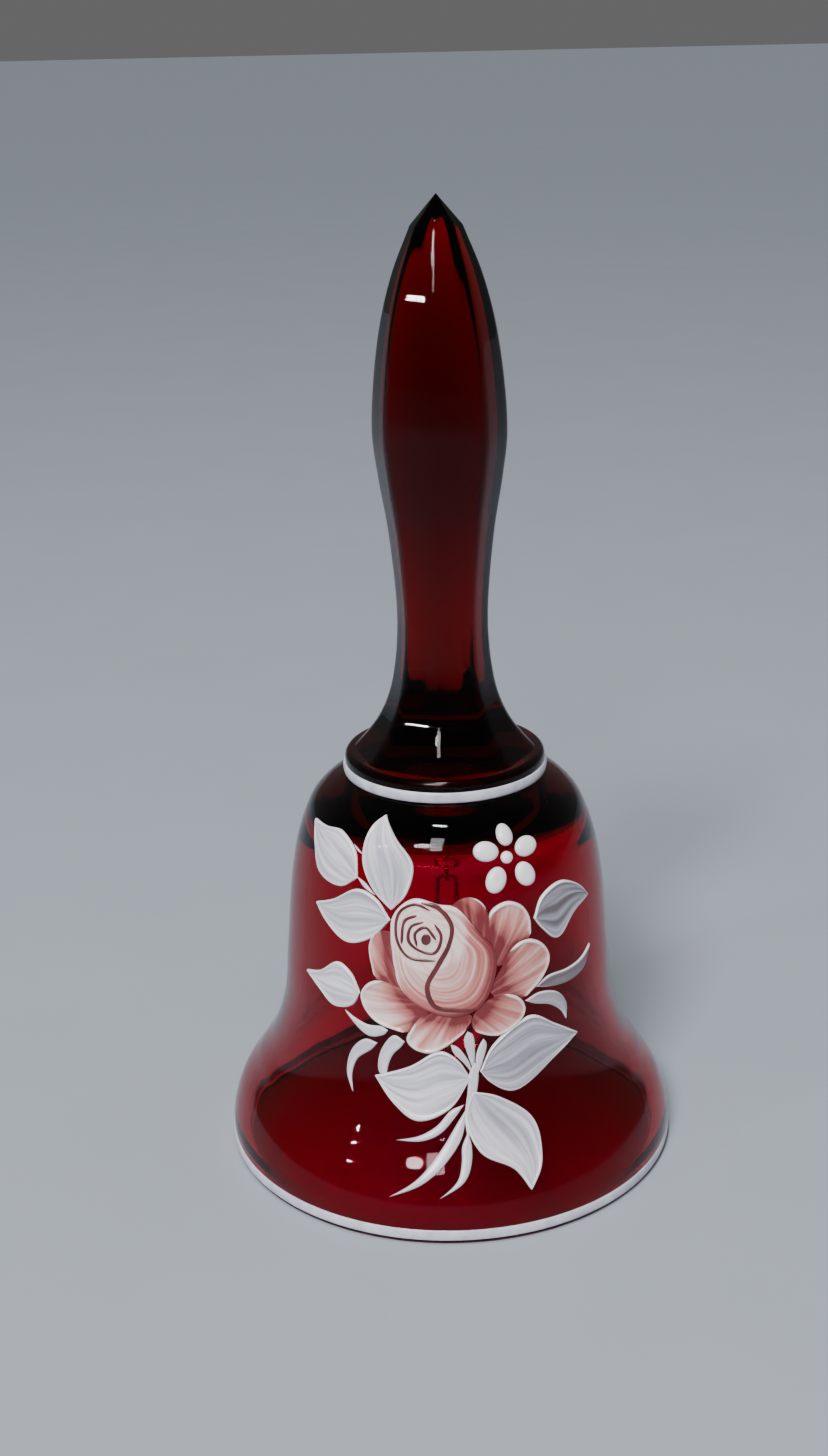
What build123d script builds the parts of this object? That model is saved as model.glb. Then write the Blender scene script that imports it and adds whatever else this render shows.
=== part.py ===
"""Ruby glass hand bell with a raised enamel rose spray and a clapper hung on a chain.

Millimetres. +Z runs up the bell's axis, the origin is the centre of the rim on the table,
and the painted front faces -Y. Azimuths are degrees round the axis from the front (-Y),
positive towards +X.
"""

from build123d import *
from math import cos, radians, sin, sqrt
import os

# ---- overall sizes -------------------------------------------------------------------
TOTAL_HEIGHT = 165.0
BOWL_HEIGHT = 69.5  # rim to the flat crown that carries the handle
RIM_RADIUS = 39.5
BODY_RADIUS = 28.4  # the slim middle of the bowl
COLLAR_RADIUS = 17.15  # also the radius of the bowl's crown
WALL = 2.9
CROWN_THICKNESS = 3.7
CROWN_FLAT_RADIUS = 7.0  # flat ceiling inside the bowl
LIP_HEIGHT = 5.0
RIM_ROUND = 0.6

# Outer shape of the bowl. Heights are shares of BOWL_HEIGHT above the lip. A flare share
# runs from BODY_RADIUS (0) to RIM_RADIUS (1), a shoulder share from COLLAR_RADIUS (0) to
# BODY_RADIUS (1).
FLARE = ((0.0, 1.0), (0.075, 0.86), (0.155, 0.56), (0.233, 0.295), (0.35, 0.088), (0.504, 0.0))
SHOULDER = ((0.698, 0.895), (0.814, 0.775), (0.891, 0.627), (0.93, 0.51), (0.969, 0.29), (1.0, 0.0))
INNER_STATIONS = 9  # stations of the outer shape that the inner wall follows

# ---- handle --------------------------------------------------------------------------
FACETS = 8
FACET_EDGE_AZIMUTH = -5.0
COLLAR_HEIGHT = 3.9
COLLAR_ROUND = 1.2
FLARE_FOOT_STEP = 1.25  # how far the handle's foot stands in from the collar
WAIST_RADIUS = 7.85
BELLY_RADIUS = 11.35
TIP_RADIUS = 4.3
TIP_HEIGHT = 4.8

# Handle outline between collar and tip: (share of the length, share of the radius step).
FLARE_CURVE = ((0.0, 1.0), (0.025, 0.75), (0.055, 0.5), (0.09, 0.3), (0.14, 0.13), (0.255, 0.0))
BELLY_CURVE = ((0.43, 0.32), (0.54, 0.76), (0.63, 1.0))
TIP_CURVE = ((0.8, 0.8), (0.91, 0.46), (1.0, 0.0))

# ---- enamel --------------------------------------------------------------------------
BAND_THICKNESS = 0.35
NECK_BAND_HEIGHT = 1.9
NECK_BAND_RAISE = 0.1
RIM_BAND_LOW = 0.8
RIM_BAND_HEIGHT = 2.0
STEM_THICKNESS = 0.4
LEAF_THICKNESS = 0.5
PETAL_THICKNESS = 0.6
BUD_THICKNESS = 0.7
LINE_THICKNESS = 0.2
DOT_THICKNESS = 0.9
DESIGN_HEIGHT = 69.5  # bowl height that the heights of the painted spray are written for

# ---- chain and clapper ---------------------------------------------------------------
WIRE = 1.0
LINK_LENGTH = 7.5
LINK_WIDTH = 4.5
LINK_COUNT = 5
LINK_CLEARANCE = 0.05
CEMENT_RADIUS = 5.0
CEMENT_HEIGHT = 4.2
EYE_SINK = 1.3  # cement above the eye's buried wire
BEAD_RADIUS = 6.0
BEAD_FLAT_RADIUS = 1.6  # ground flats at both ends of the bore
BEAD_BORE_CLEARANCE = 0.05
SHANK_LENGTH = 3.0  # bare wire between the loop and the bead
LOOP_RADIUS = 1.75
FOOT_RADIUS = 1.2
FOOT_HEIGHT = 0.8

os.makedirs("parts", exist_ok=True)


def save(part, name):
    """Labels a finished piece and writes its STEP file."""
    part.label = name
    export_step(part, f"parts/{name}.step")


# ---- bowl shape ----------------------------------------------------------------------
def bowl_stations():
    """Radius and height of each point that the bowl's outer curve runs through, from the lip up."""
    flare_step = RIM_RADIUS - BODY_RADIUS
    shoulder_step = BODY_RADIUS - COLLAR_RADIUS
    span = BOWL_HEIGHT - LIP_HEIGHT
    points = [(BODY_RADIUS + share * flare_step, LIP_HEIGHT + up * span) for up, share in FLARE]
    points += [(COLLAR_RADIUS + share * shoulder_step, LIP_HEIGHT + up * span) for up, share in SHOULDER]
    return points


STATIONS = bowl_stations()
UPWARDS = ((0, 1), (-1, 0.45))  # directions of the outer curve at the lip and at the crown
SEARCH_STEPS = 24  # halvings that find a height on the outer curve
with BuildLine() as outer_line:
    Spline(*STATIONS, tangents=UPWARDS)
OUTER_CURVE = outer_line.edges()[0]


def direction_at(station):
    """Direction of the outer curve, upwards, at one of its stations."""
    return OUTER_CURVE.tangent_at(OUTER_CURVE.param_at_point(Vector(*station)))


def offset_stations(distance):
    """The bowl's stations moved outwards by a distance, square to the outer curve."""
    moved = []
    for radius, height in STATIONS:
        along = direction_at((radius, height))
        moved.append((radius + distance * along.Y, height - distance * along.X))
    return moved


def outer_radius(height):
    """Outer radius of the bowl at a height."""
    if height <= LIP_HEIGHT:
        return RIM_RADIUS
    low, high = 0.0, 1.0
    for _ in range(SEARCH_STEPS):
        middle = (low + high) / 2
        if OUTER_CURVE.position_at(middle).Y < height:
            low = middle
        else:
            high = middle
    return OUTER_CURVE.position_at(low).X


# ---- glass ---------------------------------------------------------------------------
ceiling = BOWL_HEIGHT - CROWN_THICKNESS
inner = offset_stations(-WALL)[:INNER_STATIONS]
inner_top = inner[-1]
inner_turn = direction_at(STATIONS[INNER_STATIONS - 1])
# The inner wall leans in from its last station until it meets the ceiling.
inner_corner = (inner_top[0] + (ceiling - inner_top[1]) * inner_turn.X / inner_turn.Y, ceiling)
with BuildPart() as bell_bowl:
    with BuildSketch(Plane.XZ):
        with BuildLine():
            Line((RIM_RADIUS, 0), (RIM_RADIUS, LIP_HEIGHT))
            Spline(*STATIONS, tangents=UPWARDS)
            Line(STATIONS[-1], (0, BOWL_HEIGHT))
            Line((0, BOWL_HEIGHT), (0, ceiling))
            Line((0, ceiling), (CROWN_FLAT_RADIUS, ceiling))
            Spline(*inner, tangents=(UPWARDS[0], (inner_turn.X, inner_turn.Y)))
            Bezier(inner_top, inner_corner, (CROWN_FLAT_RADIUS, ceiling))
            Line(inner[0], (inner[0][0], 0))
            Line((inner[0][0], 0), (RIM_RADIUS, 0))
        make_face()
    revolve(axis=Axis.Z)
    fillet(bell_bowl.edges().group_by(Axis.Z)[0], radius=RIM_ROUND)
save(bell_bowl.part, "bell_bowl")

collar_top = BOWL_HEIGHT + COLLAR_HEIGHT
tip_base = TOTAL_HEIGHT - TIP_HEIGHT


def handle_outline():
    """Radius to the facet edges and height of the handle's outline, from the collar to the tip."""
    length = tip_base - collar_top
    points = []
    for curve, low, high in (
        (FLARE_CURVE, WAIST_RADIUS, COLLAR_RADIUS - FLARE_FOOT_STEP),
        (BELLY_CURVE, WAIST_RADIUS, BELLY_RADIUS),
        (TIP_CURVE, TIP_RADIUS, BELLY_RADIUS),
    ):
        points += [(low + share * (high - low), collar_top + along * length) for along, share in curve]
    return points


def facet_slab(azimuth):
    """A slab with two opposite facets of the handle as its sides, facing an azimuth."""
    flat = cos(radians(180 / FACETS))
    right = [(radius * flat, height) for radius, height in handle_outline()]
    left = [(-x, height) for x, height in reversed(right)]
    facing = (cos(radians(azimuth)), sin(radians(azimuth)), 0)
    across = (sin(radians(azimuth)), -cos(radians(azimuth)), 0)
    with BuildPart() as slab:
        with BuildSketch(Plane(origin=(0, 0, 0), x_dir=facing, z_dir=across)):
            with BuildLine():
                Spline(*right)
                Line(right[-1], (0, TOTAL_HEIGHT))
                Line((0, TOTAL_HEIGHT), left[0])
                Spline(*left)
                Line(left[-1], right[0])
            make_face()
        extrude(amount=2 * COLLAR_RADIUS, both=True)
    return slab.part


facet_step = 360 / FACETS
first_facet = FACET_EDGE_AZIMUTH + facet_step / 2
round_start = (COLLAR_RADIUS, collar_top - COLLAR_ROUND)
round_end = (COLLAR_RADIUS - COLLAR_ROUND, collar_top)
slabs = [facet_slab(first_facet + turn * facet_step) for turn in range(FACETS // 2)]
with BuildPart() as handle:
    add(slabs[0])
    for slab in slabs[1:]:
        add(slab, mode=Mode.INTERSECT)
    with BuildSketch(Plane.XZ):
        with BuildLine():
            Polyline((0, BOWL_HEIGHT), (COLLAR_RADIUS, BOWL_HEIGHT), round_start)
            RadiusArc(round_start, round_end, -COLLAR_ROUND)
            Polyline(round_end, (0, collar_top), (0, BOWL_HEIGHT))
        make_face()
    revolve(axis=Axis.Z)
save(handle.part, "handle")


# ---- enamel bands --------------------------------------------------------------------
def coat(low, high):
    """A shell over the bowl's outside, from one distance off the glass to another."""
    under = offset_stations(low)
    over = offset_stations(high)
    with BuildPart() as shell:
        with BuildSketch(Plane.XZ):
            with BuildLine():
                Line((under[0][0], RIM_BAND_LOW), under[0])
                Spline(*under, tangents=UPWARDS)
                Line(under[-1], over[-1])
                Spline(*over, tangents=UPWARDS)
                Line(over[0], (over[0][0], RIM_BAND_LOW))
                Line((over[0][0], RIM_BAND_LOW), (under[0][0], RIM_BAND_LOW))
            make_face()
        revolve(axis=Axis.Z)
    return shell.part


def ring(radius, thickness, low, height):
    """A band that wraps a cylinder of a radius."""
    with BuildPart() as band:
        with BuildSketch(Plane.XY.offset(low)):
            Circle(radius + thickness)
            Circle(radius, mode=Mode.SUBTRACT)
        extrude(amount=height)
    return band.part


save(ring(COLLAR_RADIUS, BAND_THICKNESS, BOWL_HEIGHT + NECK_BAND_RAISE, NECK_BAND_HEIGHT), "neck_band")
save(ring(RIM_RADIUS, BAND_THICKNESS, RIM_BAND_LOW, RIM_BAND_HEIGHT), "rim_band")


# ---- enamel spray --------------------------------------------------------------------
def facing_plane(azimuth):
    """An upright plane through the axis that faces an azimuth: x runs right, y runs up."""
    turn = radians(azimuth)
    return Plane(origin=(0, 0, 0), x_dir=(cos(turn), sin(turn), 0), z_dir=(sin(turn), -cos(turn), 0))


def placed(point, azimuth):
    """A point of the spray, given by its azimuth and height, on the plane that faces an azimuth."""
    height = point[1] * BOWL_HEIGHT / DESIGN_HEIGHT
    return (outer_radius(height) * sin(radians(point[0] - azimuth)), height)


def stamp(face, shell, covers=()):
    """The part of a shell behind a flat outline, less the pieces painted over it."""
    with BuildPart() as piece:
        extrude(face, amount=2 * RIM_RADIUS)
        add(shell, mode=Mode.INTERSECT)
        for cover in covers:
            add(cover, mode=Mode.SUBTRACT)
    return piece.part


def pointed_face(azimuth, base, first_side, tip, second_side):
    """A leaf or tendril outline: one side from base to tip, the other back to the base."""
    out = [placed(point, azimuth) for point in (base, *first_side, tip)]
    back = [placed(point, azimuth) for point in (tip, *second_side, base)]
    with BuildSketch(facing_plane(azimuth)) as outline:
        with BuildLine():
            Spline(*out)
            Spline(*back)
        make_face()
    return outline.sketch


def round_face(azimuth, points):
    """A petal outline: one closed curve."""
    with BuildSketch(facing_plane(azimuth)) as outline:
        with BuildLine():
            Spline(*[placed(point, azimuth) for point in points], periodic=True)
        make_face()
    return outline.sketch


def dot_face(azimuth, height, half_long, half_short, tilt):
    """An oval dab of enamel, its long axis tilted from level."""
    centre = placed((azimuth, height), azimuth)
    with BuildSketch(facing_plane(azimuth)) as outline:
        with Locations(centre):
            Ellipse(half_long, half_short, rotation=tilt)
    return outline.sketch


def stroke_face(azimuth, points, width):
    """A brush line of even width along a curve."""
    with BuildSketch(facing_plane(azimuth)) as outline:
        with BuildLine():
            Spline(*[placed(point, azimuth) for point in points])
        trace(line_width=width)
    return outline.sketch


leaf_coat = coat(0, LEAF_THICKNESS)
stem_coat = coat(0, STEM_THICKNESS)
petal_coat = coat(0, PETAL_THICKNESS)
bud_coat = coat(0, BUD_THICKNESS)
dot_coat = coat(0, DOT_THICKNESS)
line_coat = coat(BUD_THICKNESS, BUD_THICKNESS + LINE_THICKNESS)

# Every point of the spray is (azimuth in degrees, height in mm).
BUD = (
    (-12, 56.5), (-3, 55.7), (3, 55.2), (10, 51.2), (15.8, 47.5), (15.2, 42.5),
    (10, 38), (1, 36.6), (-9, 38.1), (-16.2, 41.6), (-19.2, 47), (-19.2, 53.5),
)
# Petals from the front one back: each is covered by the bud and by those before it.
PETALS = {
    "petal_bottom": (-3, (
        (-14.2, 32), (-12, 34.5), (-8.5, 36.6), (0, 37.5), (7.5, 36.5),
        (5.5, 34.3), (0, 31.5), (-6.5, 29.9), (-11.8, 30.5),
    )),
    "petal_lower_right": (16, (
        (7.4, 35), (10, 38), (18, 39.6), (24, 38.6), (26.4, 36.3), (23.5, 34), (16, 32.4), (9.5, 33.5),
    )),
    "petal_lower_left": (-18, (
        (-30.9, 38.8), (-28, 41), (-22.5, 41.9), (-15, 40.8), (-8, 38),
        (-6, 36), (-10, 34), (-17, 33.5), (-25, 34.4), (-29.6, 36.6),
    )),
    "petal_right": (25, (
        (14, 40.5), (18, 44.2), (21.5, 47), (27, 48.4), (34, 47),
        (37, 44.2), (33.5, 40.9), (26, 38.6), (18, 38.5),
    )),
    "petal_upper_right": (22, (
        (14.6, 50.5), (15.2, 54), (21.5, 55.3), (27.5, 54), (30, 51.3),
        (28.2, 48.2), (23, 45.5), (15.5, 45),
    )),
    "petal_top": (9, (
        (1.5, 55.3), (7, 56.7), (12, 55.8), (14.8, 52.5), (16.5, 48), (11, 47), (4, 51),
    )),
    "petal_left": (-22, (
        (-27.9, 47.8), (-24.5, 50.3), (-19.5, 50.5), (-15.5, 46),
        (-15, 40.5), (-21, 40), (-25.3, 42.6),
    )),
}
# Leaf: azimuth it faces, base, one side, tip, other side.
LEAVES = {
    "leaf_high_left": (-51, (-34.6, 58.3), ((-37.5, 62.2), (-47, 64.5), (-58, 64.1)), (-68, 64),
                       ((-61, 60.4), (-54, 56.8), (-42, 56.1))),
    "leaf_top": (-23, (-20, 54.2), ((-28, 57.2), (-34, 61.5), (-33.5, 66.2)), (-29, 67.9),
                 ((-21, 65.3), (-12.8, 61.8), (-14.5, 57.2))),
    "leaf_mid_left": (-37, (-20.2, 52.6), ((-26, 55.7), (-34, 56.6), (-45, 53.6)), (-54, 51.8),
                      ((-47, 49.2), (-37, 47.1), (-27, 49))),
    "leaf_small_left": (-44, (-31.2, 38.9), ((-35, 41.9), (-41, 43.1), (-50, 40.1)), (-58, 38.7),
                        ((-50, 36.9), (-42, 35), (-34, 36.3))),
    "leaf_right": (46, (31.5, 51.5), ((35.5, 54.7), (45, 56.1), (55, 54.1)), (61, 51.2),
                   ((50, 49.8), (41, 46.8), (34.5, 49.4))),
    "leaf_low_right": (28, (9.7, 26.6), ((15, 31.2), (28, 34.8), (38, 31.9)), (48, 28.5),
                       ((36, 26.1), (20, 22.6), (12.5, 24.7))),
    "leaf_low_left": (-9, (6.6, 25.6), ((2.8, 28.6), (-3, 30.3), (-13, 27.4)), (-24.7, 25),
                      ((-17.5, 21), (-10, 18.8), (0, 20.8))),
    "leaf_bottom": (15, (7, 23.4), ((15, 22.2), (25, 17.8), (24.5, 12.2)), (20, 8.2),
                    ((16.5, 11.6), (8, 14.4), (4.3, 19.4))),
}
# Stems and tendrils, from the front one back, in the same form as the leaves.
STEMS = {
    "stem_middle": (7, (7.6, 26.8), ((6.2, 29), (4.8, 32.3)), (6, 33.7), ((7.8, 33), (8.3, 29.5))),
    "stem_right": (10, (8.8, 25.9), ((8.5, 28.8), (9.8, 31)), (11.3, 32.2), ((12.3, 31.2), (10.6, 28))),
    "stem_left": (3, (7.3, 26.2), ((4.6, 28.1), (1.2, 30)), (0.3, 31.5), ((2.6, 31), (6.2, 28.4))),
    "stem_main": (6, (4.9, 15.8), ((4.2, 19.5), (5.3, 23), (6.3, 26.5)), (8.2, 28.2),
                  ((9.2, 26.3), (8, 22.5), (6.2, 19.5))),
    "twig_high": (-37, (-39.5, 63.3), ((-37, 62.8),), (-33.6, 62), ((-37, 62.45),)),
    "twig_middle": (-31, (-34.8, 58.5), ((-31, 57.8),), (-26.5, 56.2), ((-31.5, 57.1),)),
    "tendril_low_left": (-6, (4.2, 21.4), ((0.2, 20.6), (-4, 18.3), (-9, 16.8)), (-15.8, 15.9),
                         ((-8, 16.1), (-3, 17.2), (1.2, 19.4))),
    "tendril_low_middle": (-6, (4.6, 20.6), ((1.6, 18.4), (-3.5, 14.4), (-9, 10.8)), (-15.6, 7.9),
                           ((-7.5, 10.2), (-0.8, 13.6), (3.4, 17))),
    "tendril_low_right": (2, (4.8, 17.3), ((3, 15.3), (2.8, 13.4), (1.6, 10.9)), (-3, 8.2),
                          ((3.4, 10.7), (5.4, 13.1), (5.7, 15.6))),
    "tendril_right_high": (44, (30.2, 39.6), ((36, 40.8), (45, 40.7), (53, 41.2)), (59, 42.6),
                           ((54.5, 39.4), (47, 38.3), (36, 38.8))),
    "tendril_right_low": (36, (26.3, 37.6), ((32, 38.4), (39.5, 37.4), (43.5, 34.8)), (43, 31.8),
                          ((41, 33.6), (36, 35.6), (30, 36.6))),
    "tendril_left_high": (-28, (-20.6, 33.2), ((-23, 33.7), (-28, 33.5), (-33, 34.1)), (-37.3, 35),
                          ((-33.5, 33.2), (-27.5, 31.5), (-22, 32.3))),
    "tendril_left_low": (-30, (-24.4, 30.6), ((-29, 30.8), (-34.2, 28.2), (-35, 24.4)), (-31.6, 21.4),
                         ((-33, 24.4), (-31.5, 27), (-26.5, 29.2))),
    "tendril_left_hook": (-19, (-14.8, 31.6), ((-18.5, 32.5), (-23.2, 29.3), (-23.6, 26)), (-20.8, 24.7),
                          ((-20.3, 27), (-18.8, 29), (-16, 30.6))),
}
# Blossom: azimuth, height, half length, half width, tilt of the long axis.
BLOSSOM = {
    "blossom_top": (24.7, 65.3, 1.5, 1.4, 90),
    "blossom_upper_left": (15.6, 63.4, 2.15, 1.5, -6),
    "blossom_upper_right": (32.8, 63.1, 2.1, 1.5, 8),
    "blossom_lower_left": (18.3, 58.9, 2.15, 1.7, 60),
    "blossom_lower_right": (30.2, 59, 2.05, 1.7, 120),
    "blossom_centre": (23.7, 62.1, 1.05, 0.95, 0),
}
# Dark brush lines on the bud: width, then the curve.
BUD_LINES = {
    "line_fold": (0.5, ((-9, 56), (-3, 55.2), (1.3, 52.4), (0.4, 49.2), (-3.4, 45.6), (-7, 41.8),
                        (-4.6, 38.5), (1.5, 37.8), (8.6, 37.7))),
    "line_outer": (0.35, ((-6, 54.8), (-11, 55.7), (-16.6, 54.2), (-17.5, 50), (-13.5, 46.9),
                          (-4.4, 46.4))),
    "line_third": (0.35, ((-10.5, 53.9), (-14.6, 52.9), (-15.7, 49))),
    "line_second": (0.35, ((-8.2, 52.9), (-12.4, 52), (-13.2, 49.6), (-9.6, 48.1), (-4.4, 47.8),
                           (-2.2, 50.6), (-4.4, 52.6))),
    "line_inner": (0.35, ((-10.4, 48.8), (-11, 50.9), (-7.6, 52), (-3.9, 50))),
}
BUD_AZIMUTH = -2
BUD_EYE = (-7.3, 50, 0.95, 0.8, 80)

rose_bud = stamp(round_face(BUD_AZIMUTH, BUD), bud_coat)
save(rose_bud, "rose_bud")

petals = []
for name, (azimuth, points) in PETALS.items():
    petal = stamp(round_face(azimuth, points), petal_coat, [rose_bud, *petals])
    save(petal, name)
    petals.append(petal)

leaves = []
for name, outline in LEAVES.items():
    leaf = stamp(pointed_face(*outline), leaf_coat, [rose_bud, *petals, *leaves])
    save(leaf, name)
    leaves.append(leaf)

stems = []
for name, outline in STEMS.items():
    stem = stamp(pointed_face(*outline), stem_coat, [*petals, *leaves, *stems])
    save(stem, name)
    stems.append(stem)

for name, dab in BLOSSOM.items():
    save(stamp(dot_face(*dab), dot_coat), name)

rose_eye = stamp(dot_face(*BUD_EYE), line_coat)
save(rose_eye, "rose_eye")
lines = [rose_eye]
for name, (width, points) in BUD_LINES.items():
    line = stamp(stroke_face(BUD_AZIMUTH, points, width), line_coat, lines)
    save(line, name)
    lines.append(line)

# ---- hanger, chain and clapper -------------------------------------------------------
link_half = (LINK_LENGTH - WIRE) / 2  # centre of a link to the centre of its end wire
bend = (LINK_WIDTH - WIRE) / 2
pitch = LINK_LENGTH - 2 * WIRE - LINK_CLEARANCE
eye_centre = ceiling - EYE_SINK - WIRE / 2 - link_half


def oval_link(centre_height, across):
    """A closed oval of round wire, upright, in the plane of the Z axis and a level direction."""
    straight = link_half - bend
    with BuildPart() as link:
        with BuildLine(Plane(origin=(0, 0, centre_height), x_dir=(0, 0, 1), z_dir=across)) as path:
            Line((0, bend), (straight, bend))
            ThreePointArc((straight, bend), (link_half, 0), (straight, -bend))
            Line((straight, -bend), (-straight, -bend))
            ThreePointArc((-straight, -bend), (-link_half, 0), (-straight, bend))
            Line((-straight, bend), (0, bend))
        with BuildSketch(Plane(path.line ^ 0)):
            Circle(WIRE / 2)
        sweep(path=path.line)
    return link.part


ACROSS = ((1, 0, 0), (0, 1, 0))  # the level direction square to each link's plane, in turn

hanger_eye = oval_link(eye_centre, ACROSS[0])
save(hanger_eye, "hanger_eye")

CEMENT_BULGE = ((1, 0), (0.3, 1))  # directions of the cement's outline at its foot and at the ceiling
dome_low = ceiling - CEMENT_HEIGHT
with BuildPart() as crown_cement:
    with BuildSketch(Plane.XZ):
        with BuildLine():
            Line((0, ceiling), (CEMENT_RADIUS, ceiling))
            Spline((0, dome_low), (CEMENT_RADIUS, ceiling), tangents=CEMENT_BULGE)
            Line((0, dome_low), (0, ceiling))
        make_face()
    revolve(axis=Axis.Z)
    add(hanger_eye, mode=Mode.SUBTRACT)
save(crown_cement.part, "crown_cement")

hinge_height = eye_centre - link_half
hinges = []
for count in range(1, LINK_COUNT + 1):
    hinges.append(hinge_height)
    link_centre = hinge_height + WIRE + LINK_CLEARANCE - link_half
    save(oval_link(link_centre, ACROSS[count % 2]), f"chain_link_{count}")
    hinge_height = link_centre - link_half
hinges.append(hinge_height)

loop_centre = hinge_height + WIRE + LINK_CLEARANCE - LOOP_RADIUS
loop_across = ACROSS[(LINK_COUNT + 1) % 2]
loop_foot = (0, 0, loop_centre - LOOP_RADIUS)
loop_section = Plane(origin=loop_foot, x_dir=(0, 0, 1), z_dir=ACROSS[LINK_COUNT % 2])
bead_flat = sqrt(BEAD_RADIUS**2 - BEAD_FLAT_RADIUS**2)  # centre of the bead to its ground flats
bead_centre = loop_centre - LOOP_RADIUS - SHANK_LENGTH - bead_flat
bead_low = bead_centre - bead_flat
with BuildPart() as clapper_wire:
    with BuildSketch(loop_section):
        Circle(WIRE / 2)
    revolve(axis=Axis((0, 0, loop_centre), loop_across))
    with BuildSketch(Plane.XY.offset(bead_low)):
        Circle(WIRE / 2)
    extrude(amount=loop_centre - LOOP_RADIUS - bead_low)
    with BuildSketch(Plane.XY.offset(bead_low)):
        Circle(FOOT_RADIUS)
    extrude(amount=-FOOT_HEIGHT)
    fillet(clapper_wire.edges().group_by(Axis.Z)[0], radius=FOOT_HEIGHT / 2)
save(clapper_wire.part, "clapper_wire")

with BuildPart() as clapper_bead:
    with Locations((0, 0, bead_centre)):
        Sphere(BEAD_RADIUS)
        Cylinder(BEAD_RADIUS, 2 * bead_flat, mode=Mode.INTERSECT)
        Cylinder(WIRE / 2 + BEAD_BORE_CLEARANCE, 2 * BEAD_RADIUS, mode=Mode.SUBTRACT)
save(clapper_bead.part, "clapper_bead")

for count, height in enumerate(hinges, start=1):
    print(f"hinge {count}: {height:.3f} mm")
print(f"bead centre: {bead_centre:.3f} mm, ceiling: {ceiling:.3f} mm, link pitch: {pitch:.3f} mm")
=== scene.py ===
"""Looks of a ruby glass hand bell: glass body, raised enamel spray, chain and clapper."""

import logging
import math
from collections.abc import Callable, Iterator, Sequence
from contextlib import contextmanager
from dataclasses import dataclass, field
from enum import Enum

import bpy
import numpy as np
from mathutils import Matrix, Vector, noise


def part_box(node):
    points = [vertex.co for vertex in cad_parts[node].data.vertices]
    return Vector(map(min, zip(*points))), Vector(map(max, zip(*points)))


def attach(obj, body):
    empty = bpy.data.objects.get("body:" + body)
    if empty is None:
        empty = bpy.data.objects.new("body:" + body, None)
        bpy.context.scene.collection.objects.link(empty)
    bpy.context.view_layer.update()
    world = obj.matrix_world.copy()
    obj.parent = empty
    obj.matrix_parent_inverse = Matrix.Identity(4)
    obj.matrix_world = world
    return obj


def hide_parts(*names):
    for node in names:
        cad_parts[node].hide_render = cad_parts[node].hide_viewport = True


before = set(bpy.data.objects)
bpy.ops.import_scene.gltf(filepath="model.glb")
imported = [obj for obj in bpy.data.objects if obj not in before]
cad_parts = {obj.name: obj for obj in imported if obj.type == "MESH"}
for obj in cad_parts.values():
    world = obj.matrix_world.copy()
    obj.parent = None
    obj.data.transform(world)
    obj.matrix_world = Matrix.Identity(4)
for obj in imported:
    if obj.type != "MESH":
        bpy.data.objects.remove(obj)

LOG = logging.getLogger("glass_bell")
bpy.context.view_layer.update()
MM = 0.001
TINY = 1e-6  # smallest length, radius or share that counts
WELD = 1e-7  # metres within which two vertices are one
Point = tuple[float, float]
Colour = tuple[float, float, float]
Paint = tuple[float, float, float, float, float, float]
DEGREE = 0.497  # millimetres round the slim middle of the bowl to one degree


class Slot(Enum):
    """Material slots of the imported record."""

    RUBY = "ruby_glass"
    WHITE = "white_enamel"
    LEAF = "leaf_enamel"
    STEM = "stem_enamel"
    PINK = "pink_enamel"
    DARK = "dark_enamel"
    WIRE = "nickel_wire"
    CEMENT = "cement"
    CLEAR = "clear_glass"


class Body(Enum):
    """Rigid bodies that the pieces ride on."""

    BELL = "bell"
    CLAPPER = "clapper"


# ---- small helpers -------------------------------------------------------------------
def deselect() -> None:
    """Leaves nothing selected, in object mode."""
    if bpy.context.object is not None and bpy.context.object.mode != "OBJECT":
        bpy.ops.object.mode_set(mode="OBJECT")
    bpy.ops.object.select_all(action="DESELECT")


def pick(*objects: bpy.types.Object) -> None:
    """Selects only these objects and makes the last one active."""
    deselect()
    for item in objects:
        item.select_set(True)
        bpy.context.view_layer.objects.active = item


@contextmanager
def editing(piece: bpy.types.Object, mode: str = "VERT") -> Iterator[None]:
    """Opens a piece in edit mode with everything selected, and closes it afterwards.

    Args:
        piece: the mesh object to edit.
        mode: selection mode, VERT, EDGE or FACE.
    """
    pick(piece)
    bpy.ops.object.mode_set(mode="EDIT")
    bpy.ops.mesh.select_mode(type=mode)
    bpy.ops.mesh.select_all(action="SELECT")
    yield
    bpy.ops.object.mode_set(mode="OBJECT")


def select_verts(piece: bpy.types.Object, test: Callable[[Vector], bool]) -> None:
    """Selects, in edit mode, only the vertices whose place passes a test.

    Args:
        piece: the mesh object in edit mode.
        test: says of a vertex's place whether it is selected.
    """
    bpy.ops.mesh.select_all(action="DESELECT")
    bpy.ops.object.mode_set(mode="OBJECT")
    for vertex in piece.data.vertices:
        vertex.select = test(vertex.co)
    bpy.ops.object.mode_set(mode="EDIT")


def settle(piece: bpy.types.Object, smooth_angle: float = 40.0) -> None:
    """Puts a piece's place into its mesh, turns its faces outwards and smooths its shading.

    Args:
        piece: the mesh object to finish.
        smooth_angle: edges sharper than this many degrees stay sharp.
    """
    pick(piece)
    bpy.ops.object.transform_apply(location=True, rotation=True, scale=True)
    with editing(piece):
        bpy.ops.mesh.remove_doubles(threshold=WELD)
        bpy.ops.mesh.normals_make_consistent(inside=False)
    pick(piece)
    bpy.ops.object.shade_smooth_by_angle(angle=math.radians(smooth_angle))


def named(name: str) -> bpy.types.Object:
    """Names the active object and its mesh.

    Args:
        name: name of the piece.

    Returns:
        The named object.
    """
    piece = bpy.context.object
    piece.name = name
    piece.data.name = name
    return piece


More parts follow.
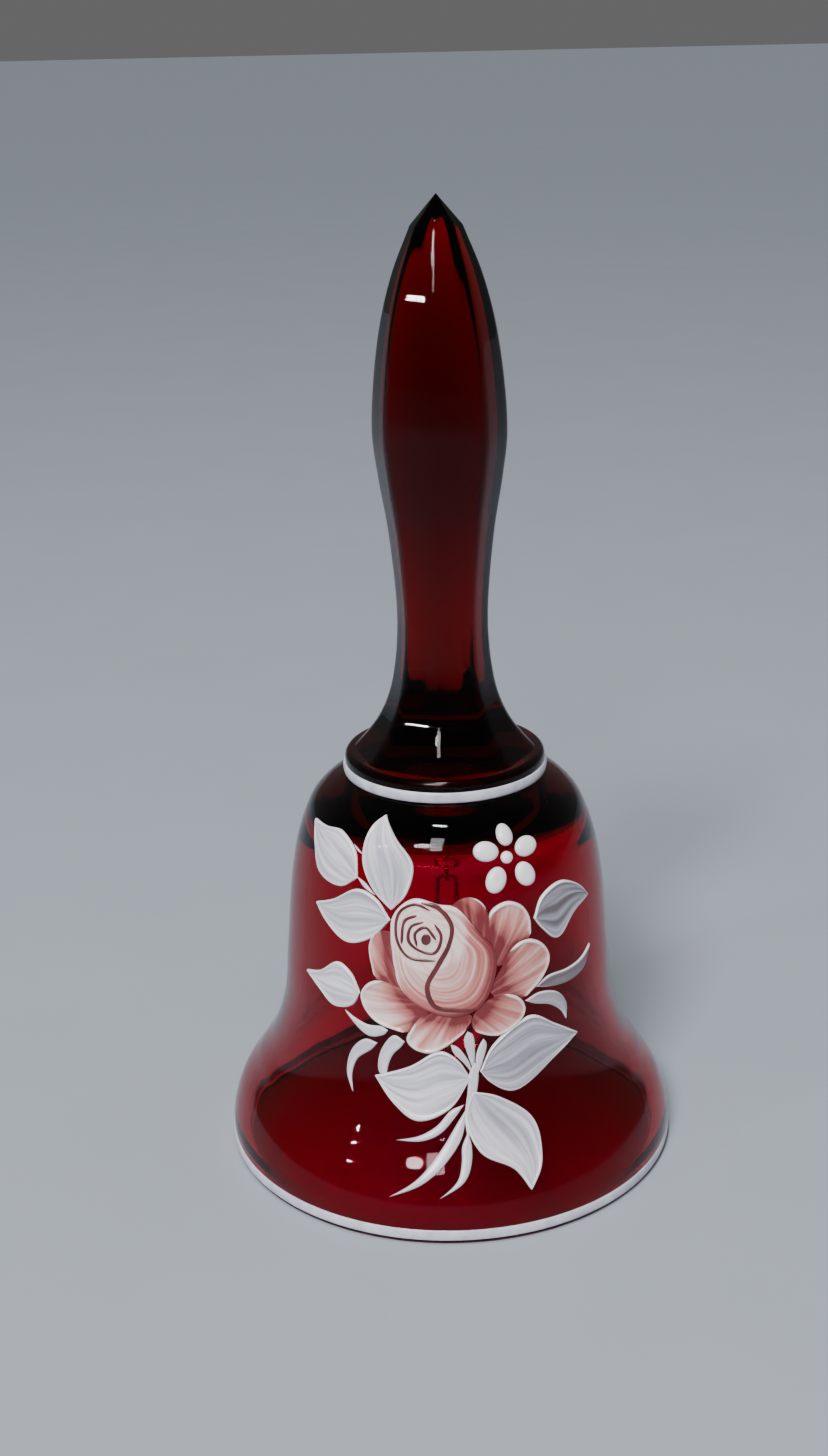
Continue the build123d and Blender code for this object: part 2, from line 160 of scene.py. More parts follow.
def dress(piece: bpy.types.Object, finish: bpy.types.Material, slot: Slot, body: str, *nodes: str) -> None:
    """Gives a piece its material and body, and hides the CAD nodes it stands for.

    Args:
        piece: the mesh object to dress.
        finish: the material it takes.
        slot: its material slot; not used.
        body: name of the rigid body it rides on.
        nodes: names of the CAD nodes it stands for.
    """
    piece.data.materials.clear()
    piece.data.materials.append(finish)
    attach(piece, body)
    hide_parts(*nodes)
    LOG.info("%s: %d faces, rides on %s", piece.name, len(piece.data.polygons), body)


def curve_through(points: Sequence[Point], steps: int, closed: bool = False) -> np.ndarray:
    """Smooth curve through points, as an even-handed Catmull-Rom chain.

    Args:
        points: the points the curve passes through, in order.
        steps: pieces per span between two points.
        closed: whether the last point joins the first.

    Returns:
        The curve's points as an array with one row each.
    """
    raw = np.array(points, dtype=float)
    count = len(raw)
    if closed:
        raw = np.vstack([raw[-1], raw, raw[0], raw[1]])
        spans = count
    else:
        raw = np.vstack([2 * raw[0] - raw[1], raw, 2 * raw[-1] - raw[-2]])
        spans = count - 1
    out = []
    for index in range(spans):
        before, start, end, after = raw[index:index + 4]
        knots = [0.0]
        for one, two in ((before, start), (start, end), (end, after)):
            knots.append(knots[-1] + max(np.linalg.norm(two - one), TINY) ** 0.5)
        for step in range(steps):
            at = knots[1] + (knots[2] - knots[1]) * step / steps
            low = [
                (knots[i + 1] - at) / (knots[i + 1] - knots[i]) * p + (at - knots[i]) / (knots[i + 1] - knots[i]) * q
                for i, (p, q) in enumerate(((before, start), (start, end), (end, after)))
            ]
            mid = [
                (knots[i + 2] - at) / (knots[i + 2] - knots[i]) * low[i]
                + (at - knots[i]) / (knots[i + 2] - knots[i]) * low[i + 1]
                for i in range(2)
            ]
            out.append((knots[2] - at) / (knots[2] - knots[1]) * mid[0]
                       + (at - knots[1]) / (knots[2] - knots[1]) * mid[1])
    if not closed:
        out.append(raw[-2])
    return np.array(out)


def evenly(curve: np.ndarray, count: int, closed: bool = False) -> np.ndarray:
    """Resamples a curve at even distances along it.

    Args:
        curve: points of the curve, one row each.
        count: number of points wanted.
        closed: whether the last point joins the first.

    Returns:
        The resampled points, one row each.
    """
    line = np.vstack([curve, curve[:1]]) if closed else curve
    along = np.concatenate([[0.0], np.cumsum(np.linalg.norm(np.diff(line, axis=0), axis=1))])
    wanted = np.linspace(0.0, along[-1], count + 1 if closed else count)
    even = np.stack([np.interp(wanted, along, line[:, axis]) for axis in range(line.shape[1])], axis=1)
    return even[:-1] if closed else even


def raise_rings(rings: Sequence[Point]) -> None:
    """Extrudes the selected ring, in edit mode, through a row of rings.

    Args:
        rings: radius and height of every ring, in metres, starting with the selected one.
    """
    last_radius, last_height = rings[0]
    for radius, height in rings[1:]:
        size = max(radius, TINY)
        grow = size / last_radius
        bpy.ops.mesh.extrude_region_move(TRANSFORM_OT_translate={"value": (0, 0, height - last_height)})
        bpy.ops.transform.resize(value=(grow, grow, 1), center_override=(0, 0, height))
        last_radius, last_height = size, height


def stack_rings(name: str, vertices: int, rings: Sequence[Point], cap_low: bool = True) -> bpy.types.Object:
    """Raises a column or shell from one ring by extruding and sizing it, ring by ring.

    Args:
        name: name of the new piece.
        vertices: corners of the first ring.
        rings: radius and height of every ring, in metres. A radius of 0 closes the shape.
        cap_low: fills the first ring.

    Returns:
        The finished column, in object mode.
    """
    deselect()
    first_radius, first_height = rings[0]
    bpy.ops.mesh.primitive_circle_add(
        vertices=vertices, radius=first_radius, fill_type="NGON" if cap_low else "NOTHING",
        location=(0, 0, first_height))
    piece = named(name)
    bpy.ops.object.transform_apply(location=True, rotation=True, scale=True)
    with editing(piece):
        raise_rings(rings)
        if rings[-1][0] <= 0:
            bpy.ops.mesh.merge(type="CENTER")
    return piece


# ---- finishes ------------------------------------------------------------------------
class Nodes:
    """A material's node tree, with short ways to add and join nodes."""

    def __init__(self, name: str) -> None:
        """Starts a material with a surface shader joined to its output."""
        self.material = bpy.data.materials.new(name)
        self.material.use_nodes = True
        self.tree = self.material.node_tree
        self.tree.nodes.clear()
        self.output = self.tree.nodes.new("ShaderNodeOutputMaterial")
        self.shader = self.tree.nodes.new("ShaderNodeBsdfPrincipled")
        self.join(self.shader.outputs["BSDF"], self.output.inputs["Surface"])

    def join(self, out: bpy.types.NodeSocket, into: bpy.types.NodeSocket) -> None:
        """Links an output to an input."""
        self.tree.links.new(out, into)

    def feed(self, into: bpy.types.NodeSocket, value: object) -> None:
        """Gives an input its value.

        Args:
            into: the input.
            value: an output to link, a colour or a number.
        """
        if isinstance(value, bpy.types.NodeSocket):
            self.join(value, into)
        elif isinstance(value, tuple):
            into.default_value = (*value, 1)
        else:
            into.default_value = value

    def add(self, kind: str, **values: object) -> bpy.types.Node:
        """Adds a node.

        Args:
            kind: the node's type.
            values: the node's properties by name.

        Returns:
            The new node.
        """
        node = self.tree.nodes.new(kind)
        for key, value in values.items():
            setattr(node, key, value)
        return node

    def maths(self, operation: str, first: object, second: object = 0.0) -> bpy.types.NodeSocket:
        """Joins two values through a math node.

        Args:
            operation: what the node does.
            first: an output or a number.
            second: an output or a number.

        Returns:
            The result's output.
        """
        node = self.add("ShaderNodeMath", operation=operation)
        for socket, value in zip(node.inputs, (first, second)):
            self.feed(socket, value)
        return node.outputs[0]

    def plus(self, base: object, value: bpy.types.NodeSocket, share: float) -> bpy.types.NodeSocket:
        """Adds a share of one value to another."""
        return self.maths("ADD", base, self.maths("MULTIPLY", value, share))

    def ramp(self, factor: bpy.types.NodeSocket, stops: Sequence[tuple[float, Colour]]) -> bpy.types.NodeSocket:
        """Turns a value into a colour.

        Args:
            factor: the value.
            stops: place and colour of every stop.

        Returns:
            The colour's output.
        """
        node = self.add("ShaderNodeValToRGB")
        ramp = node.color_ramp
        while len(ramp.elements) < len(stops):
            ramp.elements.new(0.5)
        for element, (place, colour) in zip(ramp.elements, stops):
            element.position = place
            element.color = (*colour, 1)
        self.join(factor, node.inputs["Fac"])
        return node.outputs["Color"]

    def mix(self, factor: object, one: object, two: object, blend: str = "MIX") -> bpy.types.NodeSocket:
        """Mixes two colours.

        Args:
            factor: an output or a number, 0 for the first colour and 1 for the second.
            one: an output or a colour.
            two: an output or a colour.
            blend: how they mix.

        Returns:
            The mixed colour's output.
        """
        node = self.add("ShaderNodeMix", data_type="RGBA", blend_type=blend)
        for socket, value in ((node.inputs[0], factor), (node.inputs[6], one), (node.inputs[7], two)):
            self.feed(socket, value)
        return node.outputs[2]

    def speckle(self, scale: float, detail: float = 3.0, rough: float = 0.5) -> bpy.types.NodeSocket:
        """Noise on the object's own coordinates.

        Args:
            scale: lumps per metre.
            detail: octaves of finer noise.
            rough: strength of the finer noise.

        Returns:
            The noise's output, 0 to 1.
        """
        where = self.add("ShaderNodeTexCoord")
        texture = self.add("ShaderNodeTexNoise")
        texture.inputs["Scale"].default_value = scale
        texture.inputs["Detail"].default_value = detail
        texture.inputs["Roughness"].default_value = rough
        self.join(where.outputs["Object"], texture.inputs["Vector"])
        return texture.outputs["Fac"]

    def bump(self, height: bpy.types.NodeSocket, distance: float, strength: float = 1.0) -> None:
        """Roughens the shader's normal.

        Args:
            height: the pattern, 0 to 1.
            distance: metres from low to high.
            strength: share of the effect.
        """
        node = self.add("ShaderNodeBump")
        node.inputs["Distance"].default_value = distance
        node.inputs["Strength"].default_value = strength
        self.join(height, node.inputs["Height"])
        self.join(node.outputs["Normal"], self.shader.inputs["Normal"])

    def set(self, **values: object) -> None:
        """Sets the shader's own sockets, written with underscores for spaces."""
        for key, value in values.items():
            self.shader.inputs[key.replace("_", " ")].default_value = value


@dataclass(frozen=True)
class TintedGlass:
    """Clear glass whose colour deepens with its thickness."""

    name: str
    roughness: float
    tint: Colour
    density: float
    shine: float = 1.0
    wave: float = 0.00002

    def material(self) -> bpy.types.Material:
        """Builds the glass with its absorption and the faint waviness of a pressed surface.

        Returns:
            The finished material.
        """
        nodes = Nodes(self.name)
        nodes.set(Base_Color=(1, 1, 1, 1), Transmission_Weight=1.0, IOR=1.5, Specular_Tint=(*[self.shine] * 3, 1))
        haze = nodes.maths("MULTIPLY", nodes.speckle(60.0), self.roughness)
        nodes.join(haze, nodes.shader.inputs["Roughness"])
        nodes.bump(nodes.speckle(45.0, 1.0), self.wave)
        volume = nodes.add("ShaderNodeVolumeAbsorption")
        volume.inputs["Color"].default_value = (*self.tint, 1)
        volume.inputs["Density"].default_value = self.density
        nodes.join(volume.outputs["Volume"], nodes.output.inputs["Volume"])
        return nodes.material


@dataclass(frozen=True)
class BrushedEnamel:
    """Fired enamel laid on with a loaded brush: streaks, a shade from one end to the other and a bright rim.

    The piece's "paint" attribute gives, at each point, the streak (0 to 1), the shade (0 pale, 1 deep)
    and the distance from the edge in millimetres. Part of the shade is painted shade: on the strokes
    to the right, and round the edges of the dabs laid over a petal.
    """

    name: str
    pale: Colour
    middle: Colour
    deep: Colour
    rim: Colour
    streak: float
    rim_width: float = 0.7
    solid_rim: float = 0.35  # share of the rim's width that is solid
    grain: float = 0.12
    roughness: float = 0.28

    def material(self) -> bpy.types.Material:
        """Builds the enamel.

        Returns:
            The finished material.
        """
        nodes = Nodes(self.name)
        paint = nodes.add("ShaderNodeAttribute", attribute_name="paint")
        parts = nodes.add("ShaderNodeSeparateXYZ")
        nodes.join(paint.outputs["Vector"], parts.inputs[0])
        # The shade is the enamel's own depth of colour, with painted shade on the right-hand strokes and round
        # covering petals
        streak, shade, edge = parts.outputs
        fine = nodes.speckle(900.0, 4.0, 0.6)
        load = nodes.plus(shade, nodes.maths("SUBTRACT", streak, 0.5), self.streak)
        load = nodes.plus(load, nodes.maths("SUBTRACT", fine, 0.5), self.grain)
        body = nodes.ramp(load, ((0.0, self.pale), (0.45, self.middle), (1.0, self.deep)))
        near = nodes.add("ShaderNodeMapRange", interpolation_type="SMOOTHSTEP")
        nodes.join(edge, near.inputs["Value"])
        reach = {"From Min": self.rim_width * self.solid_rim, "From Max": self.rim_width, "To Min": 1.0, "To Max": 0.0}
        for socket, value in reach.items():
            near.inputs[socket].default_value = value
        colour = nodes.mix(near.outputs["Result"], body, self.rim)
        nodes.join(colour, nodes.shader.inputs["Base Color"])
        rough = nodes.plus(self.roughness, fine, 0.1)
        nodes.join(rough, nodes.shader.inputs["Roughness"])
        nodes.set(Coat_Weight=0.25, Coat_Roughness=0.12, IOR=1.5)
        height = nodes.plus(nodes.maths("MULTIPLY", streak, 0.8), fine, 0.25)
        nodes.bump(height, 0.00005, 0.6)
        return nodes.material


@dataclass(frozen=True)
class PlainEnamel:
    """Fired enamel of one colour that pools a little thicker and thinner."""

    name: str
    thin: Colour
    thick: Colour
    roughness: float = 0.25
    scale: float = 260.0

    def material(self) -> bpy.types.Material:
        """Builds the enamel.

        Returns:
            The finished material.
        """
        nodes = Nodes(self.name)
        pool = nodes.speckle(self.scale, 4.0)
        nodes.join(nodes.ramp(pool, ((0.3, self.thin), (0.62, self.thick))), nodes.shader.inputs["Base Color"])
        rough = nodes.plus(self.roughness, pool, 0.12)
        nodes.join(rough, nodes.shader.inputs["Roughness"])
        nodes.set(Coat_Weight=0.3, Coat_Roughness=0.1, IOR=1.5)
        nodes.bump(nodes.speckle(self.scale * 4, 3.0), 0.00003, 0.5)
        return nodes.material


@dataclass(frozen=True)
class PlatedWire:
    """Nickel-plated drawn wire with rubbed and dull spots."""

    name: str
    bright: Colour
    dull: Colour

    def material(self) -> bpy.types.Material:
        """Builds the metal.

        Returns:
            The finished material.
        """
        nodes = Nodes(self.name)
        tarnish = nodes.speckle(700.0, 5.0, 0.6)
        nodes.join(nodes.ramp(tarnish, ((0.35, self.dull), (0.6, self.bright))), nodes.shader.inputs["Base Color"])
        rough = nodes.plus(0.16, tarnish, 0.22)
        nodes.join(rough, nodes.shader.inputs["Roughness"])
        nodes.set(Metallic=1.0)
        nodes.bump(nodes.speckle(2600.0, 2.0), 0.00001, 0.4)
        return nodes.material


@dataclass(frozen=True)
class CastCement:
    """Off-white cement with pits and a chalky surface."""

    name: str
    pits: Colour = (0.42, 0.38, 0.32)
    chalk: Colour = (0.74, 0.7, 0.62)

    def material(self) -> bpy.types.Material:
        """Builds the cement.

        Returns:
            The finished material.
        """
        nodes = Nodes(self.name)
        grain = nodes.speckle(900.0, 6.0, 0.7)
        nodes.join(nodes.ramp(grain, ((0.3, self.pits), (0.65, self.chalk))), nodes.shader.inputs["Base Color"])
        nodes.set(Roughness=0.75)
        nodes.bump(grain, 0.0001, 0.8)
        return nodes.material


@dataclass(frozen=True)
class PaleTable:
    """Plain pale matt surface for the bell to stand on."""

    name: str
    colour: Colour

    def material(self) -> bpy.types.Material:
        """Builds the surface.

        Returns:
            The finished material.
        """
        nodes = Nodes(self.name)
        cloth = nodes.speckle(30.0, 5.0)
        darker = tuple(channel * 0.97 for channel in self.colour)
        nodes.join(nodes.ramp(cloth, ((0.3, darker), (0.7, self.colour))), nodes.shader.inputs["Base Color"])
        nodes.set(Roughness=0.85, Specular_IOR_Level=0.2)
        return nodes.material


# ---- glass body ----------------------------------------------------------------------
@dataclass
class BowlShape:
    """Outer and inner outline of the bowl, in millimetres."""

    height: float
    rim_radius: float
    collar_radius: float
    body_radius: float = 28.4
    wall: float = 2.9
    crown: float = 3.7
    ceiling_radius: float = 7.0
    lip: float = 5.0
    rim_round: float = 0.6
    flare: tuple[Point, ...] = (
        (0.0, 1.0), (0.075, 0.86), (0.155, 0.56), (0.233, 0.295), (0.35, 0.088), (0.504, 0.0))
    shoulder: tuple[Point, ...] = (
        (0.698, 0.895), (0.814, 0.775), (0.891, 0.627), (0.93, 0.51), (0.969, 0.29), (1.0, 0.0))
    inner_stations: int = 9
    curve: np.ndarray = field(init=False)

    def __post_init__(self) -> None:
        """Works out the outer curve from lip to crown."""
        self.curve = curve_through([(self.rim_radius, 0.0), *self.stations()], steps=10)

    def stations(self) -> list[Point]:
        """Works out the points that the outer curve runs through.

        Returns:
            Their radii and heights from the lip up, in millimetres.
        """
        span = self.height - self.lip
        low = [(self.body_radius + s * (self.rim_radius - self.body_radius), self.lip + up * span)
               for up, s in self.flare]
        high = [(self.collar_radius + s * (self.body_radius - self.collar_radius), self.lip + up * span)
                for up, s in self.shoulder]
        return low + high

    def surface(self, height: float) -> tuple[float, float, float]:
        """Outer radius at a height, and the surface's outward direction there.

        Args:
            height: millimetres above the table.

        Returns:
            Radius, then the outward and upward parts of the surface normal.
        """
        step = 0.4
        radii = np.interp((height - step, height, height + step), self.curve[:, 1], self.curve[:, 0])
        slope = (radii[2] - radii[0]) / (2 * step)
        size = math.hypot(1.0, slope)
        return float(radii[1]), 1.0 / size, -slope / size

    def inner_curve(self) -> np.ndarray:
        """Works out the inner wall.

        Returns:
            Its radii and heights from the rim up to the ceiling, in millimetres.
        """
        points = []
        for radius, height in [(self.rim_radius, 0.0), *self.stations()[:self.inner_stations]]:
            _, outward, upward = self.surface(height)
            points.append((radius - self.wall * outward, height - self.wall * upward))
        points[0] = (points[0][0], 0.0)
        points.append((self.ceiling_radius, self.height - self.crown))
        return curve_through(points, steps=8)

    def rings(self) -> list[Point]:
        """Lists every ring of the closed bowl.

        Returns:
            Radii and heights from the middle of the ceiling round the rim to the crown, in metres.
        """
        inner = self.inner_curve()
        inner = inner[inner[:, 1] > self.rim_round]
        outer = self.curve[self.curve[:, 1] > self.rim_round]
        middle = [(self.ceiling_radius * 0.5, self.height - self.crown)]
        inner_round = [
            (inner[0][0] + self.rim_round * (1 - math.cos(turn)), self.rim_round * (1 - math.sin(turn)))
            for turn in np.linspace(0.1, math.pi / 2, 6)
        ]
        outer_round = [
            (self.rim_radius - self.rim_round * (1 - math.cos(turn)), self.rim_round * (1 - math.sin(turn)))
            for turn in np.linspace(math.pi / 2, 0.1, 6)
        ]
        path = [*middle, *map(tuple, inner[::-1]), *inner_round, *outer_round, *map(tuple, outer)]
        return [(r * MM, z * MM) for r, z in path]


@dataclass
class HandleShape:
    """Outline of the collar and the eight-sided handle, in millimetres."""

    base: float
    top: float
    collar_radius: float
    collar_height: float = 3.9
    collar_round: float = 1.2
    foot_radius: float = 15.9
    waist_radius: float = 7.85
    belly_radius: float = 11.35
    tip_radius: float = 4.3
    tip_height: float = 4.8
    facets: int = 8
    edge_azimuth: float = -5.0
    edge_softness: float = 0.15
    foot_sink: float = 1.5
    collar_step: float = 1.0
    flare: tuple[Point, ...] = (
        (0.0, 1.0), (0.025, 0.75), (0.055, 0.5), (0.09, 0.3), (0.14, 0.13), (0.255, 0.0))
    belly: tuple[Point, ...] = ((0.43, 0.32), (0.54, 0.76), (0.63, 1.0))
    point: tuple[Point, ...] = ((0.8, 0.8), (0.91, 0.46), (1.0, 0.0))
    tip_steps: tuple[float, ...] = (0.25, 0.5, 0.75, 0.93)

    def outline(self) -> list[Point]:
        """Works out the handle's outline along its facet edges.

        Returns:
            Radii and heights from the collar to the tip, in metres.
        """
        low = self.base + self.collar_height
        length = self.top - self.tip_height - low
        stations = []
        for shape, start, end in (
            (self.flare, self.waist_radius, self.foot_radius),
            (self.belly, self.waist_radius, self.belly_radius),
            (self.point, self.tip_radius, self.belly_radius),
        ):
            stations += [(start + s * (end - start), low + along * length) for along, s in shape]
        column = [tuple(p) for p in curve_through(stations, steps=7)]
        tip = [(self.tip_radius * (1 - t), self.top - self.tip_height * (1 - t)) for t in self.tip_steps]
        foot = [(column[0][0], low - self.foot_sink)]
        return [(r * MM, z * MM) for r, z in [*foot, *column, *tip, (0.0, self.top)]]

    def collar_rings(self) -> list[Point]:
        """Lists the rings of the round collar.

        Returns:
            Radii and heights from the crown up, in metres.
        """
        high = self.base + self.collar_height
        turn = np.linspace(0, math.pi / 2, 7)
        edge = [(self.collar_radius - self.collar_round * (1 - math.cos(a)),
                 high - self.collar_round * (1 - math.sin(a))) for a in turn]
        path = [(self.collar_radius, self.base + step) for step in (0.05, 1.0, 2.0)] + edge
        path.append((self.collar_radius - self.collar_round - self.collar_step, high))
        return [(r * MM, z * MM) for r, z in path]


@dataclass
class GlassBody:
    """Bowl, collar and handle as the one piece of fused glass that they look like."""

    bowl: BowlShape
    handle: HandleShape
    finish: TintedGlass
    round_steps: int = 192
    facet_cuts: int = 5
    long_edge: float = 0.9  # share of the longest side above which an edge is a facet

    def raise_column(self) -> bpy.types.Object:
        """Raises the eight-sided handle with softened facet edges.

        Returns:
            The closed column.
        """
        rings = self.handle.outline()
        corners = self.handle.facets
        deselect()
        bpy.ops.mesh.primitive_circle_add(vertices=corners, radius=rings[0][0], fill_type="NOTHING",
                                          location=(0, 0, rings[0][1]))
        column = named("handle_column")
        bpy.ops.object.transform_apply(location=True, rotation=True, scale=True)
        column.data.transform(Matrix.Rotation(math.radians(self.handle.edge_azimuth - 180), 4, "Z"))
        with editing(column):
            side = 2 * rings[0][0] * math.sin(math.pi / corners)
            bpy.ops.mesh.bevel(offset=side * self.handle.edge_softness, segments=6, affect="VERTICES")
        lengths = [(column.data.vertices[e.vertices[0]].co - column.data.vertices[e.vertices[1]].co).length
                   for e in column.data.edges]
        with editing(column, "EDGE"):
            bpy.ops.mesh.select_all(action="DESELECT")
            bpy.ops.object.mode_set(mode="OBJECT")
            for edge, length in zip(column.data.edges, lengths):
                edge.select = length > max(lengths) * self.long_edge
            bpy.ops.object.mode_set(mode="EDIT")
            bpy.ops.mesh.subdivide(number_cuts=self.facet_cuts)
        with editing(column):
            raise_rings(rings[:-1])
            rise = rings[-1][1] - rings[-2][1]
            bpy.ops.mesh.extrude_region_move(TRANSFORM_OT_translate={"value": (0, 0, rise)})
            bpy.ops.mesh.merge(type="CENTER")
            select_verts(column, lambda place: place.z < rings[0][1] + WELD)
            bpy.ops.mesh.edge_face_add()
        settle(column)
        return column

    def raise_bowl(self) -> bpy.types.Object:
        """Raises the round bowl with the collar on its crown.

        Returns:
            The bowl, closed all over.
        """
        rings = self.bowl.rings() + self.handle.collar_rings()
        bowl = stack_rings("glass_body", self.round_steps, [*rings, (0.0, rings[-1][1])])
        settle(bowl)
        return bowl

    def build(self) -> bpy.types.Object:
        """Joins bowl and handle.

        Returns:
            One closed piece of glass.
        """
        bowl = self.raise_bowl()
        column = self.raise_column()
        pick(bowl)
        fuse = bowl.modifiers.new("fuse", "BOOLEAN")
        fuse.operation = "UNION"
        fuse.solver = "EXACT"
        fuse.object = column
        bpy.ops.object.modifier_apply(modifier=fuse.name)
        pick(column)
        bpy.ops.object.delete()
        settle(bowl, 28.0)
        dress(bowl, self.finish.material(), Slot.RUBY, Body.BELL.value, "bell_bowl", "handle")
        return bowl


# ---- enamel bands --------------------------------------------------------------------
@dataclass
class EnamelBand:
    """A hand-drawn line of enamel round the bell, a little uneven in width and thickness."""

    node: str
    seat_radius: float
    seed: float
    overlap: float = 0.12
    wander: float = 0.05
    steps: int = 288
    section: int = 20

    def build(self, finish: bpy.types.Material) -> bpy.types.Object:
        """Builds the line round its seat, the size of its CAD ring.

        Args:
            finish: its enamel.

        Returns:
            The finished line.
        """
        low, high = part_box(self.node)
        proud = (high.x - low.x) / 2 - self.seat_radius * MM
        half_height = (high.z - low.z) / 2
        middle = (high.z + low.z) / 2
        deselect()
        bpy.ops.mesh.primitive_torus_add(
            major_radius=self.seat_radius * MM, minor_radius=proud, major_segments=self.steps,
            minor_segments=self.section, location=(0, 0, middle))
        band = named("enamel_" + self.node)
        bpy.ops.object.transform_apply(location=True, rotation=True, scale=True)
        for vertex in band.data.vertices:
            place = vertex.co
            around = math.hypot(place.x, place.y)
            out = (around - self.seat_radius * MM) / proud
            up = (place.z - middle) / proud
            heading = Vector((place.x, place.y, 0)) / around
            drift = noise.noise(heading * 2.5 + Vector((self.seed, 0, 0)))
            fine = noise.noise(heading * 14.0 + Vector((0, self.seed, 0)))
            square = max(abs(out), abs(up), TINY) ** 0.35
            lift = proud * max(out, -self.overlap / (proud / MM)) * (1 - self.wander * (1 + fine))
            rise = half_height * (up / square) * (1 - self.wander * (0.6 + 0.4 * drift + 0.2 * fine))
            flat = self.seat_radius * MM + lift
            vertex.co = heading * flat + Vector((0, 0, middle + rise))
        settle(band, 60.0)
        dress(band, finish, Slot.WHITE, Body.BELL.value, self.node)
        return band


# ---- enamel spray --------------------------------------------------------------------
@dataclass(frozen=True)
class Lay:
    """How a dab of enamel stands on the glass, in millimetres."""

    body: float
    rim: float = 0.0
    edge: float = 0.35
    streaks: float = 0.0
    streak_count: float = 14.0
    sink: float = 0.08

    def height(self, edge_distance: float, streak: float) -> float:
        """Works out the height over the glass.

        Args:
            edge_distance: millimetres from the dab's edge.
            streak: height of the brush marks there, 0 to 1.

        Returns:
            Millimetres over the glass.
        """
        inside = min(max(edge_distance / self.edge, 0.0), 1.0)
        dome = math.sqrt(1 - (1 - inside) ** 2)
        ridge = self.rim * math.exp(-((edge_distance - self.edge * 1.1) / (self.edge * 0.8)) ** 2)
        return dome * (self.body + ridge + self.streaks * (streak - 0.5) * inside)


class Sheet:
    """A grid of points laid on the bowl and raised into a closed dab of enamel."""

    seam = 0.4999  # just inside the edge of the unit grid
    weld = 5e-7  # metres within which two points of a dab are one

    def __init__(self, bowl: BowlShape, design_height: float) -> None:
        """Keeps the bowl that the dabs lie on."""
        self.bowl = bowl
        self.stretch = bowl.height / design_height

    def place(self, azimuth: float, height: float, lift: float) -> Vector:
        """A point over the bowl's surface, in metres.

        Args:
            azimuth: degrees round the axis from the front.
            height: millimetres above the table.
            lift: millimetres off the glass.

        Returns:
            The point in the bell's frame.
        """
        level = height * self.stretch
        radius, outward, upward = self.bowl.surface(level)
        turn = math.radians(azimuth)
        reach = radius + lift * outward
        return Vector((reach * math.sin(turn), -reach * math.cos(turn), level + lift * upward)) * MM

    def build(self, name: str, across: int, along: int, lay: Lay, base: float,
              paint: Callable[[float, float], Paint], fan: bool = False) -> bpy.types.Object:
        """Lays a grid, raises its upper side and closes it.

        Args:
            name: name of the new piece.
            across: cells from one side to the other.
            along: cells from one end to the other.
            lay: how the enamel stands on the glass.
            base: millimetres that the dab starts above the glass.
            paint: gives azimuth, height, edge distance, streak, shade and share of the full thickness
                at a place on the grid.
            fan: the grid runs round a heart, so its two sides meet and its first row is one point.

        Returns:
            The closed piece with its paint attribute.
        """
        deselect()
        bpy.ops.mesh.primitive_grid_add(x_subdivisions=across, y_subdivisions=along, size=1, calc_uvs=True)
        piece = named(name)
        bpy.ops.object.transform_apply(location=True, rotation=True, scale=True)
        keep = piece.data.attributes.new("spot", "FLOAT_VECTOR", "POINT")
        keep.data.foreach_set("vector", [c for v in piece.data.vertices for c in (v.co.x + 0.5, v.co.y + 0.5, 0)])
        with editing(piece, "FACE"):
            bpy.ops.mesh.extrude_region_move(TRANSFORM_OT_translate={"value": (0, 0, 1)})
            if fan:
                bpy.ops.mesh.select_all(action="DESELECT")
                bpy.ops.object.mode_set(mode="OBJECT")
                for face in piece.data.polygons:
                    face.select = abs(face.center.x) > self.seam or face.center.y < -self.seam
                bpy.ops.object.mode_set(mode="EDIT")
                bpy.ops.mesh.delete(type="FACE")
        mesh = piece.data
        spots = np.empty(len(mesh.vertices) * 3)
        mesh.attributes["spot"].data.foreach_get("vector", spots)
        spots = spots.reshape(-1, 3)
        colours = np.empty((len(mesh.vertices), 3))
        for vertex in mesh.vertices:
            u, v, _ = spots[vertex.index]
            azimuth, height, edge, streak, shade, thick = paint(float(u), float(v))
            lift = base + lay.height(edge, streak) * thick if vertex.co.z > 0.5 else base - lay.sink
            vertex.co = self.place(azimuth, height, lift)
            colours[vertex.index] = (streak, shade, edge)
        mesh.attributes.remove(mesh.attributes["spot"])
        painted = mesh.attributes.new("paint", "FLOAT_VECTOR", "POINT")
        painted.data.foreach_set("vector", colours.ravel())
        with editing(piece):
            bpy.ops.mesh.remove_doubles(threshold=self.weld)
            bpy.ops.mesh.normals_make_consistent(inside=False)
        pick(piece)
        bpy.ops.object.shade_smooth_by_angle(angle=math.radians(70))
        return piece


def ease_to_edges(share: float, pull: float = 0.55) -> float:
    """Moves grid lines closer together towards both sides."""
    return (1 - pull) * share + pull * (0.5 - 0.5 * math.cos(math.pi * share))


def streak_at(across: float, along: float, count: float, seed: float) -> float:
    """Height of the brush marks.

    Args:
        across: share of the way across the stroke.
        along: share of the way along it.
        count: marks across the stroke.
        seed: start of the pattern.

    Returns:
        The height, 0 to 1.
    """
    coarse = noise.noise(Vector((across * count, along * 1.3, seed)))
    fine = noise.noise(Vector((across * count * 2.7, along * 2.2, seed + 9.0)))
    return min(max(0.5 + 0.75 * coarse + 0.4 * fine, 0.0), 1.0)


def depth_inside(outline: np.ndarray, azimuth: float, height: float) -> float:
    """How far inside a closed outline a point lies, in millimetres, below 0 outside it.

    Args:
        outline: azimuths and heights along the outline.
        azimuth: the point's azimuth in degrees.
        height: the point's height in millimetres.

    Returns:
        Distance to the outline, below 0 for a point outside it.
    """
    ahead = np.roll(outline, -1, axis=0)
    spans = (outline[:, 1] > height) != (ahead[:, 1] > height)
    start, end = outline[spans], ahead[spans]
    crossing = start[:, 0] + (height - start[:, 1]) / (end[:, 1] - start[:, 1]) * (end[:, 0] - start[:, 0])
    away = float(np.min(np.hypot((outline[:, 0] - azimuth) * DEGREE, outline[:, 1] - height)))
    return away if np.count_nonzero(crossing > azimuth) % 2 else -away


